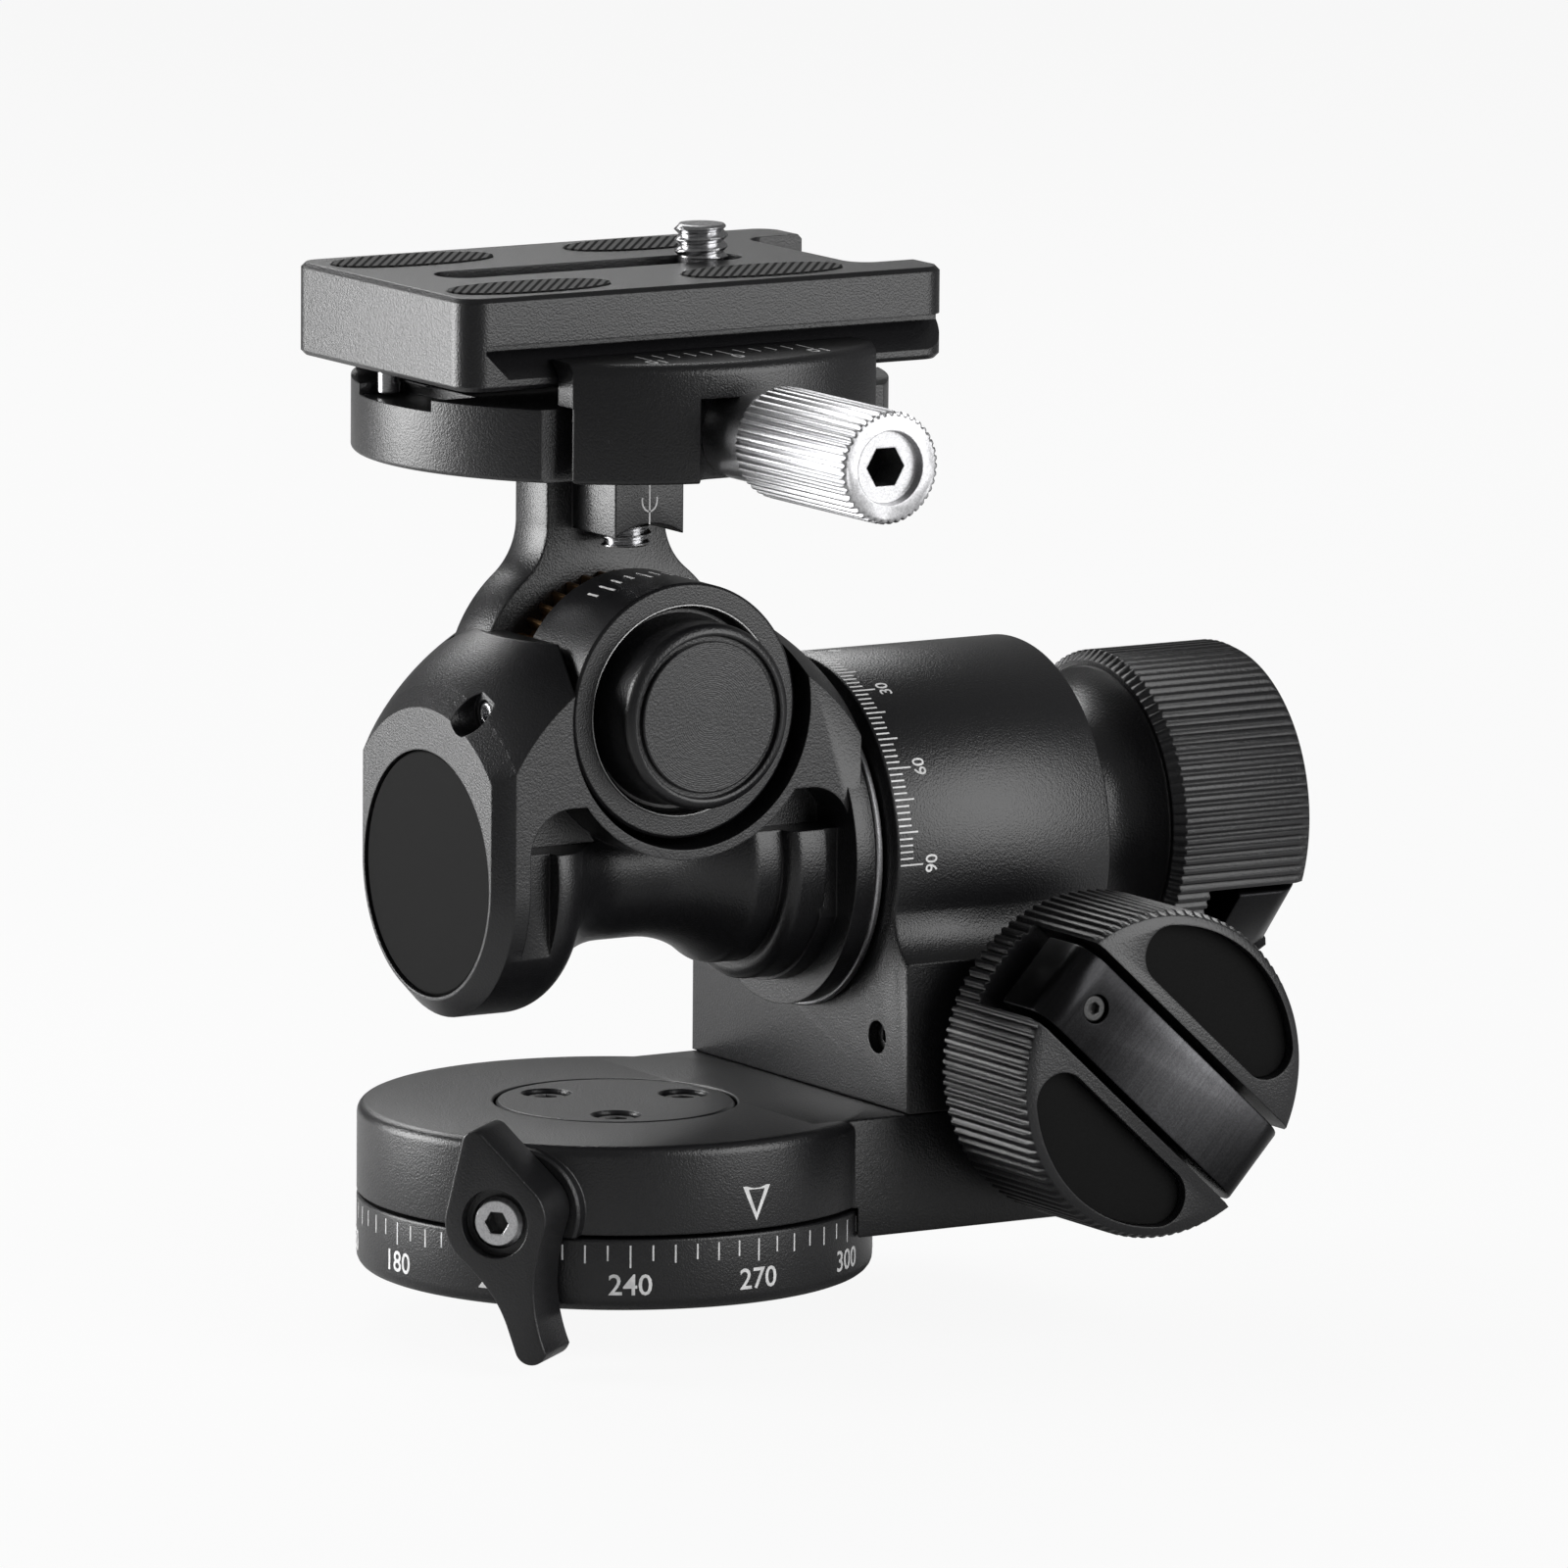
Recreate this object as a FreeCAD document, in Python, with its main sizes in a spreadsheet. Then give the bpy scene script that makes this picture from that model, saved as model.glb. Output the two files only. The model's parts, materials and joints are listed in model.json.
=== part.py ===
import FreeCAD, Part
import math
import os
import Sketcher

# Geared tripod head with a clamp and a camera plate, in millimetres, +Z up.
#
# The origin is the middle of the underside, where the tripod's screw enters.  +X points along the
# barrel to the rear knob, -Y is the front with the pan pointer and the lower knob.  The head turns
# about Z on its base, rolls about the barrel axis and tilts about an axis along Y, the last two through
# worm drives.

V = FreeCAD.Vector
DOC = FreeCAD.newDocument("geared_head")
NODES = []

# --------------------------------------------------------------------------- driving dimensions
SHEET = DOC.addObject("Spreadsheet::Sheet", "Dims")


class Size:
    """A size that knows its value and the formula over the sheet that it is bound with."""

    def __init__(self, value, formula=None):
        self.value = float(value)
        self.formula = formula if formula is not None else repr(float(value))

    def __add__(self, other):
        other = size(other)
        return Size(self.value + other.value, "(%s + %s)" % (self.formula, other.formula))

    def __sub__(self, other):
        other = size(other)
        return Size(self.value - other.value, "(%s - %s)" % (self.formula, other.formula))

    def __mul__(self, other):
        other = size(other)
        return Size(self.value * other.value, "(%s * %s)" % (self.formula, other.formula))

    def __truediv__(self, other):
        other = size(other)
        return Size(self.value / other.value, "(%s / %s)" % (self.formula, other.formula))

    def __radd__(self, other):
        return size(other) + self

    def __rsub__(self, other):
        return size(other) - self

    def __rmul__(self, other):
        return size(other) * self

    def __neg__(self):
        return size(0) - self

    def __float__(self):
        return self.value


def size(number):
    """A plain number as a Size."""
    return number if isinstance(number, Size) else Size(number)


DIMENSIONS = {
    # base and pan stage
    "base_radius": 30.0, "ring_height": 8.5, "ring_wall": 6.0, "ring_round": 1.6,
    "thread_radius": 4.76, "insert_radius": 8.0, "insert_length": 12.0,
    "spigot_radius": 12.0, "spigot_top": 16.3, "cap_radius": 14.0, "cap_edge": 0.3,
    "pan_gap": 0.4, "pan_top": 19.2, "pan_round": 1.3, "fit_gap": 0.05, "move_gap": 0.35,
    "arm_half": 24.2, "arm_bottom": 5.2, "arm_corner": 5.0, "arm_root": 12.0,
    "screw_ring": 9.2, "screw_head": 2.0, "screw_bite": 0.8,
    # pan lock
    "lock_angle": 51.0, "lock_height": 11.6, "lock_stand": 1.2, "lock_boss": 7.2,
    "lever_thick": 8.0, "lock_seat": 4.2, "lock_sink": 1.8, "lock_head": 3.3,
    # bracket and barrel
    "bracket_front": 24.8, "barrel_end": 54.0, "barrel_radius": 21.85, "barrel_axis": 48.0,
    "ledge_height": 36.7, "cove_top": 42.4, "cove_radius": 7.0, "barrel_bore": 18.3,
    "cover_thick": 3.4, "journal_length": 13.2, "bush_radius": 12.0, "shaft_radius": 9.0,
    "shaft_bore": 4.5, "roll_tunnel": 6.35, "bracket_bolt_x": 35.2, "bracket_bolt_y": 16.0,
    "bracket_bolt": 2.5, "bolt_head": 4.3, "bolt_head_deep": 4.5, "bolt_bite": 6.0,
    "side_hole_y": 17.6, "side_hole_z": 27.3, "side_hole": 1.9, "side_hole_deep": 6.0,
    # worm drives
    "drive_teeth": 40.0, "pressure_angle": 20.0, "tooth_share": 0.40, "addendum": 0.9,
    "dedendum": 1.25, "tilt_module": 0.67, "tilt_centres": 19.1, "tilt_wheel_width": 4.5,
    "roll_module": 0.85, "roll_centres": 22.4, "roll_wheel_width": 6.0, "worm_turns": 6.0,
    "spindle_radius": 4.0, "worm_gap": 0.5, "worm_reach": 17.0, "roll_worm_end": 10.5,
    "roll_nut_radius": 12.5, "roll_shaft_end": 49.6,
    # knobs
    "knob_radius": 19.15, "knob_length": 19.0, "knob_round": 1.4, "knob_skirt": 17.4,
    "rear_neck": 10.75, "lower_neck": 3.75, "lower_knob_x": 45.5, "neck_radius": 12.6,
    "neck_flare": 9.0, "bar_width": 9.6, "bar_depth": 9.0, "bar_gap": 1.0, "bar_travel": 3.0,
    "bar_bevel": 3.4, "bar_turn": -42.4, "rear_bar_turn": -49.0, "bar_screw_x": 12.8,
    "bar_screw": 1.7, "well_inner": 8.0, "well_outer": 17.4, "well_corner": 4.0,
    "well_depth": 1.6, "inlay_sink": 0.7, "knob_floor": 5.6, "stem_radius": 2.6,
    # yoke
    "yoke_left": 25.5, "yoke_right": 23.6, "yoke_front": 16.8, "yoke_back": 16.8,
    "yoke_top": 75.1, "yoke_sphere": 31.9, "end_radius": 16.8, "end_chamfer": 2.1,
    "leg_start": 17.2, "leg_round": 5.0, "left_flare": 10.6, "tube_radius": 9.5,
    "right_flare": 14.7, "boss_radius": 13.4, "boss_flat": 11.5, "boss_round": 2.0,
    "collar_radius": 15.6, "collar_start": 14.4, "collar_round": 1.5, "land_left": 16.3,
    "land_right": 18.7, "leg_outer": 22.8, "right_leg_radius": 16.0, "flange_radius": 19.0,
    "flange_start": 21.0, "insert_disc": 14.24, "insert_depth": 1.6, "silver_radius": 19.6,
    "silver_width": 0.8, "cradle_radius": 15.9, "rim_radius": 17.1, "window_half": 21.4,
    "window_top": 57.2, "window_corner": 5.4, "recess_depth": 2.2, "hub_back": 10.6,
    "hub_flange": 17.4, "hub_low": 12.0, "swing_low": 57.5, "swing_gap": 0.4,
    "tunnel_radius": 6.75, "boss_start": 11.0, "worm_bush_end": 12.5, "bush_short": 3.0,
    "shaft_step": 2.0, "adjuster_y": 7.6, "adjuster_z": 67.4, "adjuster_mouth": 2.4,
    "adjuster_face": 21.0, "adjuster_radius": 1.6, "adjuster_length": 5.0,
    # tilt hub and platform
    "drum_radius": 14.84, "drum_front": 15.0, "drum_edge": 0.3, "drum_well": 2.0,
    "wheel_front": 1.85, "wheel_back": 2.8, "core_radius": 8.0, "pin_radius": 4.0,
    "pin_reach": 9.0, "pin_head": 6.5, "pin_head_deep": 1.6, "face_inner": 12.1,
    "worm_relief": 12.3, "cap_front": 20.7, "cap_rim": 10.8, "cap_round": 1.0,
    "cap_disc": 9.17, "cap_disc_deep": 0.8, "arm_back": 10.2, "neck_half": 8.0,
    "neck_fillet": 8.0, "block_bottom": 86.3, "block_front": 6.9, "block_face": 4.6,
    "block_arch": 8.0, "block_round": 0.8,
    # clamp
    "clamp_radius": 31.0, "clamp_bottom": 95.8, "clamp_floor": 104.2, "channel_floor": 102.9,
    "channel_half": 8.2, "notch_start": 24.0, "jaw_top": 109.6, "jaw_split": 21.0,
    "jaw_back": 23.5, "jaw_edge": 1.2, "jaw_lip": 18.5, "jaw_play": 0.2, "jaw_side": 20.2,
    "pocket_half": 6.75, "pocket_floor": 27.0, "pocket_roof": 2.2, "jaw_axis": 100.9,
    "grip_radius": 6.45, "grip_back": 36.0, "grip_front": 59.5, "grip_hub": 5.3,
    "grip_recess": 4.6, "clamp_thread": 2.5, "guide_radius": 1.9, "guide_x": 15.0,
    "guide_start": 12.0, "guide_end": 26.0, "bolt_radius": 3.0, "bolt_y": 1.6, "bolt_low": 84.7,
    "clamp_bolt_head": 5.0, "clamp_bolt_deep": 1.9,
    # plate
    "plate_half_length": 32.25, "plate_half_width": 20.05, "plate_bottom": 106.5,
    "plate_thick": 10.7, "flange_edge": 1.2, "groove_root": 17.0, "top_flange": 5.5,
    "groove_start": 29.5, "plate_corner": 3.2, "plate_chamfer": 0.6, "fork_half": 12.8,
    "fork_root": 24.0, "slot_left": 21.0, "slot_right": 12.5, "slot_half": 3.3,
    "track_wider": 3.0, "track_roof": 5.7, "pad_left": 20.0, "pad_right": 11.0, "pad_y": 13.3,
    "pad_half_length": 10.3, "pad_half_width": 4.4, "pad_depth": 0.8, "pad_proud": 0.3,
    "camera_screw_x": 10.8, "camera_thread": 3.175, "camera_neck": 2.6, "camera_reach": 4.6,
    "camera_head": 5.9, "camera_head_deep": 3.0, "coin_slot_deep": 1.4, "stop_x": 27.6,
    "stop_y": 5.4, "stop_radius": 1.3,
}


class Sizes:
    """The sheet's cells as named sizes."""


s = Sizes()
for row, (alias, number) in enumerate(DIMENSIONS.items(), start=1):
    SHEET.set("A%d" % row, alias.replace("_", " "))
    SHEET.set("B%d" % row, str(number))
    SHEET.setAlias("B%d" % row, alias)
    setattr(s, alias, Size(number, "Dims." + alias))
DOC.recompute()

RING_INNER = s.base_radius - s.ring_wall
PAN_BOTTOM = s.ring_height + s.pan_gap
LOCK_RADIUS = s.base_radius + s.lock_stand
ROLL_WORM_Z = s.barrel_axis - s.roll_centres
TILT_AXIS = s.barrel_axis + s.tilt_centres
REAR_KNOB_START = s.barrel_end + s.move_gap + s.rear_neck
LOWER_KNOB_BACK = s.arm_half + s.move_gap + s.lower_neck
PLATE_TOP = s.plate_bottom + s.plate_thick
GROOVE_TOP = PLATE_TOP - s.top_flange
TRACK_TOP = PLATE_TOP - s.track_roof
FLANGE_WALL = s.plate_half_width + s.jaw_play
LIP_BOTTOM = s.jaw_top - (FLANGE_WALL - s.jaw_lip)
OUTSIDE = s.clamp_radius + s.ring_wall

TO_X = FreeCAD.Rotation(V(0, 1, 0), 90)
TO_FRONT = FreeCAD.Rotation(V(1, 0, 0), 90)
NO_TURN = FreeCAD.Rotation()


# --------------------------------------------------------------------------- building blocks
def new_body(label):
    """An empty PartDesign body that becomes a node."""
    body = DOC.addObject("PartDesign::Body", label)
    body.Label = label
    NODES.append(body)
    return body


def plane_of(body, role):
    """One of the body's own origin planes."""
    return [p for p in body.Origin.OriginFeatures if p.Role == role][0]


def arc_edge(start, end, radius):
    """The short arc from start to end; a positive radius turns left, a negative one right."""
    chord = end - start
    half = chord.Length / 2
    rise = math.sqrt(max(radius * radius - half * half, 0.0))
    left = V(-chord.y, chord.x, 0).normalize()
    centre = (start + end) / 2 + left * math.copysign(rise, radius)
    first, last = (start, end) if radius > 0 else (end, start)
    a = math.atan2(first.y - centre.y, first.x - centre.x)
    b = math.atan2(last.y - centre.y, last.x - centre.x)
    if b < a:
        b += 2 * math.pi
    return Part.ArcOfCircle(Part.Circle(centre, V(0, 0, 1), abs(radius)), a, b)


def draw(sketch, outline):
    """Draws a closed outline of corners (x, y) or (x, y, radius of the arc that leads there)."""
    corners = [tuple(size(c) for c in corner) for corner in outline]
    count = len(corners)
    first = sketch.GeometryCount
    points = [V(float(c[0]), float(c[1]), 0) for c in corners]
    for i in range(count):
        j = (i + 1) % count
        if len(corners[j]) == 3:
            sketch.addGeometry(arc_edge(points[i], points[j], float(corners[j][2])), False)
        else:
            sketch.addGeometry(Part.LineSegment(points[i], points[j]), False)
    for i in range(count):
        j = (i + 1) % count
        backward = len(corners[j]) == 3 and float(corners[j][2]) < 0
        backward_next = len(corners[(j + 1) % count]) == 3 and float(corners[(j + 1) % count][2]) < 0
        begin, finish = (2, 1) if backward else (1, 2)
        sketch.addConstraint(Sketcher.Constraint("Coincident", first + i, finish, first + j,
                                                 2 if backward_next else 1))
        fix(sketch, "DistanceX", first + i, begin, corners[i][0])
        fix(sketch, "DistanceY", first + i, begin, corners[i][1])
        if len(corners[j]) == 3:
            turn_radius = corners[j][2]
            bound = turn_radius if float(turn_radius) > 0 else -turn_radius
            if abs((points[j] - points[i]).Length - 2 * float(bound)) < 1e-6:
                upright = abs(points[j].x - points[i].x) < 1e-6
                fix(sketch, "DistanceX" if upright else "DistanceY", first + i, 3,
                    corners[i][0 if upright else 1])
                continue
            index = sketch.addConstraint(Sketcher.Constraint("Radius", first + i, float(bound)))
            sketch.setExpression("Constraints[%d]" % index, bound.formula)


def fix(sketch, kind, edge, end, where):
    """Holds one end of an edge at a distance from the sketch's origin."""
    if where.value == 0 and "Dims" not in where.formula:
        axis = -2 if kind == "DistanceX" else -1
        sketch.addConstraint(Sketcher.Constraint("PointOnObject", edge, end, axis))
        return
    index = sketch.addConstraint(Sketcher.Constraint(kind, edge, end, float(where)))
    sketch.setExpression("Constraints[%d]" % index, where.formula)


def draw_circle(sketch, x, y, radius):
    """Draws a circle held by its centre and radius."""
    x, y, radius = size(x), size(y), size(radius)
    edge = sketch.addGeometry(Part.Circle(V(float(x), float(y), 0), V(0, 0, 1), float(radius)), False)
    fix(sketch, "DistanceX", edge, 3, x)
    fix(sketch, "DistanceY", edge, 3, y)
    index = sketch.addConstraint(Sketcher.Constraint("Radius", edge, float(radius)))
    sketch.setExpression("Constraints[%d]" % index, radius.formula)


def new_sketch(body, name, plane, start, shapes, lift=0):
    """A sketch on one of the body's planes, moved along the plane's normal and up, with its outlines.

    A shape is a circle (x, y, radius) or a list of corners.
    """
    sketch = body.newObject("Sketcher::SketchObject", name)
    sketch.AttachmentSupport = [(plane_of(body, plane + "_Plane"), "")]
    sketch.MapMode = "FlatFace"
    start = size(start)
    sketch.setExpression("AttachmentOffset.Base.z", start.formula)
    sketch.setExpression("AttachmentOffset.Base.y", size(lift).formula)
    for shape in shapes:
        if isinstance(shape, tuple):
            draw_circle(sketch, *shape)
        else:
            draw(sketch, shape)
    return sketch


def settle(body, feature, smaller_than=None):
    """Recomputes and makes sure that the feature did something."""
    DOC.recompute()
    if feature.Shape.isNull() or not feature.isValid() or not feature.Shape.isValid():
        raise RuntimeError("%s of %s failed" % (feature.Name, body.Label))
    if smaller_than is not None and not feature.Shape.Volume < smaller_than - 1e-6:
        raise RuntimeError("%s of %s cut nothing" % (feature.Name, body.Label))


def pad(body, name, plane, shapes, start, end):
    """Material between two distances along the plane's normal (XY: up, XZ: to the front, YZ: +X)."""
    sketch = new_sketch(body, name + "_outline", plane, start, shapes)
    feature = body.newObject("PartDesign::Pad", name)
    feature.Profile = sketch
    feature.setExpression("Length", (size(end) - size(start)).formula)
    settle(body, feature)
    return feature


def pocket(body, name, plane, shapes, start, end):
    """The same, taken away."""
    before = body.Tip.Shape.Volume
    sketch = new_sketch(body, name + "_outline", plane, start, shapes)
    feature = body.newObject("PartDesign::Pocket", name)
    feature.Profile = sketch
    feature.Reversed = True
    feature.setExpression("Length", (size(end) - size(start)).formula)
    settle(body, feature, smaller_than=before)
    return feature


def turn(body, name, outline):
    """A turned solid about the body's Z axis from an outline (radius, height)."""
    sketch = new_sketch(body, name + "_outline", "XZ", 0, [outline])
    feature = body.newObject("PartDesign::Revolution", name)
    feature.Profile = sketch
    feature.ReferenceAxis = (sketch, ["V_Axis"])
    feature.Angle = 360
    settle(body, feature)
    return feature


def edges_of(feature, wanted):
    """Names of the feature's edges whose middle point and edge pass the test."""
    names = []
    for index, edge in enumerate(feature.Shape.Edges, start=1):
        middle = edge.valueAt((edge.FirstParameter + edge.LastParameter) / 2)
        if wanted(middle, edge):
            names.append("Edge%d" % index)
    return names


def blend(body, name, kind, amount, wanted):
    """A PartDesign fillet or chamfer on the edges that pass the test."""
    base = body.Tip
    feature = body.newObject("PartDesign::" + kind, name)
    feature.Base = (base, edges_of(base, wanted))
    feature.setExpression("Radius" if kind == "Fillet" else "Size", size(amount).formula)
    settle(body, feature)
    return feature


def place(thing, x=0, y=0, z=0, turned=NO_TURN):
    """Puts an object that was made about its own origin where it belongs."""
    thing.Placement = FreeCAD.Placement(V(float(size(x)), float(size(y)), float(size(z))), turned)
    for axis, where in (("x", x), ("y", y), ("z", z)):
        if "Dims" in size(where).formula:
            thing.setExpression("Placement.Base." + axis, size(where).formula)
    return thing


def rod(label, radius, start, end, x=0, y=0, z=0, turned=NO_TURN):
    """A Part cylinder from start to end along its turned axis."""
    cylinder = DOC.addObject("Part::Cylinder", label)
    cylinder.Label = label
    cylinder.setExpression("Radius", size(radius).formula)
    cylinder.setExpression("Height", (size(end) - size(start)).formula)
    direction = turned.multVec(V(0, 0, 1))
    place(cylinder, size(x) + size(start) * round(direction.x), size(y) + size(start) * round(direction.y),
          size(z) + size(start) * round(direction.z), turned)
    return cylinder


def tube(label, outer, inner, start, end, x=0, y=0, z=0, turned=NO_TURN):
    """A bush, washer or sleeve."""
    body = new_body(label)
    pad(body, label + "_wall", "XY", [(0, 0, outer), (0, 0, inner)], start, end)
    place(body, x, y, z, turned)
    return body


def shape_node(label, shape):
    """A solid made with Part's own functions."""
    feature = DOC.addObject("Part::Feature", label)
    feature.Label = label
    feature.Shape = shape
    NODES.append(feature)
    return feature


def polar(radius, degrees):
    """A point on a circle."""
    return (float(radius) * math.cos(math.radians(degrees)), float(radius) * math.sin(math.radians(degrees)))


# --------------------------------------------------------------------------- base and pan stage
def base_parts():
    """Tripod plate with its spigot, dial ring, thread insert and the retaining cap on top."""
    plate = new_body("base_plate")
    turn(plate, "plate_profile", [
        (s.insert_radius, 0), (RING_INNER, 0), (RING_INNER, s.ring_height),
        (s.spigot_radius, s.ring_height), (s.spigot_radius, s.spigot_top), (0, s.spigot_top),
        (0, s.insert_length), (s.insert_radius, s.insert_length)])

    ring = new_body("dial_ring")
    turn(ring, "ring_profile", [
        (RING_INNER, 0), (s.base_radius - s.ring_round, 0),
        (s.base_radius, s.ring_round, s.ring_round), (s.base_radius, s.ring_height),
        (RING_INNER, s.ring_height)])

    tube("thread_insert", s.insert_radius, s.thread_radius, 0, s.insert_length)
    tube("pan_washer", RING_INNER, s.spigot_radius + s.fit_gap, s.ring_height + s.fit_gap, PAN_BOTTOM)

    cap = new_body("spindle_cap")
    turn(cap, "cap_profile", [
        (0, s.spigot_top), (s.cap_radius, s.spigot_top), (s.cap_radius, s.pan_top - s.cap_edge),
        (s.cap_radius - s.cap_edge, s.pan_top), (0, s.pan_top)])
    spots = [polar(s.screw_ring, angle) for angle in (0, 120, 240)]
    head_low = s.spigot_top + s.screw_bite
    heads = [(x, y, s.screw_head) for x, y in spots]
    pocket(cap, "head_seats", "XY", heads, head_low, s.pan_top)

    screws = new_body("cap_screws")
    head_top = s.pan_top - s.cap_edge
    pad(screws, "heads", "XY", heads, head_low, head_top)
    pocket(screws, "sockets", "XY", [(x, y, 0.95) for x, y in spots], head_top - 1.0, head_top)


def hexagon(x, y, across, turned=0):
    """Corners of a hexagon socket or head."""
    radius = float(size(across)) / math.sqrt(3)
    corners = [polar(radius, turned + 60 * i) for i in range(6)]
    return [(size(x) + cx, size(y) + cy) for cx, cy in corners]


def combined(label, kind, base, tools):
    """A node made by joining or cutting objects."""
    made = DOC.addObject("Part::Cut" if kind == "cut" else "Part::Fuse", label)
    made.Label = label
    made.Base = base
    if len(tools) == 1:
        made.Tool = tools[0]
    else:
        group = DOC.addObject("Part::Compound", label + "_tools")
        group.Links = tools
        made.Tool = group
    if base in NODES:
        NODES.remove(base)
    NODES.append(made)
    DOC.recompute()
    return made


def lock_direction():
    """Level direction of the pan lock, seen from the pan's axis."""
    angle = math.radians(float(s.lock_angle))
    return V(-math.sin(angle), -math.cos(angle), 0)


LOCK_TURN = FreeCAD.Rotation(V(0, 0, 1), lock_direction())


def radial(label, radius, start, end):
    """A cylinder along the pan lock's axis between two distances from the pan's axis."""
    cylinder = DOC.addObject("Part::Cylinder", label)
    cylinder.setExpression("Radius", size(radius).formula)
    cylinder.setExpression("Height", (size(end) - size(start)).formula)
    spot = lock_direction() * float(size(start)) + V(0, 0, float(s.lock_height))
    cylinder.Placement = FreeCAD.Placement(spot, LOCK_TURN)
    return cylinder


def bolt_spots(radius):
    """Circles of the three bolts that hold the bracket."""
    return [(s.bracket_bolt_x, s.bracket_bolt_y * step, radius) for step in (-1, 0, 1)]


def pan_body_part():
    """Turning stage: a disc over the dial with the arm for the bracket and the boss for the lock."""
    body = new_body("pan_stage_blank")
    pad(body, "disc", "XY", [(0, 0, s.base_radius)], PAN_BOTTOM, s.pan_top)
    blend(body, "disc_round", "Fillet", s.pan_round, lambda p, e: abs(p.z - float(s.pan_top)) < 0.01)
    corner = s.barrel_end - s.arm_corner
    pad(body, "arm", "XY", [[
        (s.arm_root, -s.arm_half), (corner, -s.arm_half),
        (s.barrel_end, -s.arm_half + s.arm_corner, s.arm_corner),
        (s.barrel_end, s.arm_half - s.arm_corner), (corner, s.arm_half, s.arm_corner),
        (s.arm_root, s.arm_half)]],
        s.arm_bottom, s.pan_top)
    pocket(body, "spigot_bore", "XY", [(0, 0, s.spigot_radius + s.fit_gap)], PAN_BOTTOM, s.pan_top)
    pocket(body, "cap_seat", "XY", [(0, 0, s.cap_radius + 0.2)], s.spigot_top - 0.1, s.pan_top)
    pocket(body, "bolt_holes", "XY", bolt_spots(s.bracket_bolt), s.arm_bottom, s.pan_top)
    pocket(body, "bolt_seats", "XY", bolt_spots(s.bolt_head + 0.2), s.arm_bottom,
           s.arm_bottom + s.bolt_head_deep)
    boss = radial("lock_boss_round", s.lock_boss, s.spigot_radius + 8, LOCK_RADIUS)
    joined = combined("pan_stage_boss", "fuse", body, [boss])
    freed = rod("dial_clearance", s.base_radius + s.move_gap, 0, PAN_BOTTOM)
    bore = radial("lock_bore", s.clamp_thread + s.fit_gap, s.spigot_radius - 2, LOCK_RADIUS + 1)
    combined("pan_body", "cut", joined, [freed, bore])


def lock_parts():
    """Pan lock: lever, its screw, the threaded stud and the brake pad that it presses."""
    lever = new_body("lock_lever")
    outline = [(-4.05, 9.4, 1.45), (-6.0, 0.9), (-3.7, -4.7, 5.5), (-2.6, -5.8), (1.5, -11.8, -15.0),
               (2.6, -14.9), (6.3, -14.7, 1.95), (4.75, -7.5, -20.0), (6.05, -0.3, -24.0),
               (4.8, 3.9, 4.4), (-1.6, 10.1)]
    pad(lever, "lever_plate", "XY", [outline], 0, s.lever_thick)
    pocket(lever, "screw_seat", "XY", [(0, 0, s.lock_seat)], s.lever_thick - s.lock_sink, s.lever_thick)
    pocket(lever, "stud_hole", "XY", [(0, 0, s.clamp_thread)], 0, s.lever_thick - s.lock_sink)
    tangent = V(0, 0, 1).cross(lock_direction()) * -1
    # the lever's own X is level along the rim and its own Z points away from the pan's axis
    turned = FreeCAD.Rotation(-tangent, V(0, 0, 1), lock_direction(), "ZXY")
    lever_start = LOCK_RADIUS + s.move_gap
    lever.Placement = FreeCAD.Placement(
        lock_direction() * float(lever_start) + V(0, 0, float(s.lock_height)), turned)

    brake_end = s.spigot_radius + 3.1
    stud = radial("lock_stud", s.clamp_thread, brake_end + 0.3, lever_start + s.lever_thick - s.lock_sink)
    NODES.append(stud)
    brake = radial("lock_brake_pad", s.clamp_thread, s.spigot_radius + 0.3, brake_end)
    NODES.append(brake)

    head = new_body("lock_screw")
    pad(head, "screw_head", "XY", [(0, 0, s.lock_head)], 0, 1.9)
    blend(head, "screw_round", "Fillet", 0.5, lambda p, e: abs(p.z - 1.9) < 0.01)
    pocket(head, "screw_socket", "XY", [hexagon(0, 0, 2.5)], 0.5, 1.9)
    head.Placement = FreeCAD.Placement(
        lock_direction() * float(lever_start + s.lever_thick - s.lock_sink) + V(0, 0, float(s.lock_height)), turned)


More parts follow.
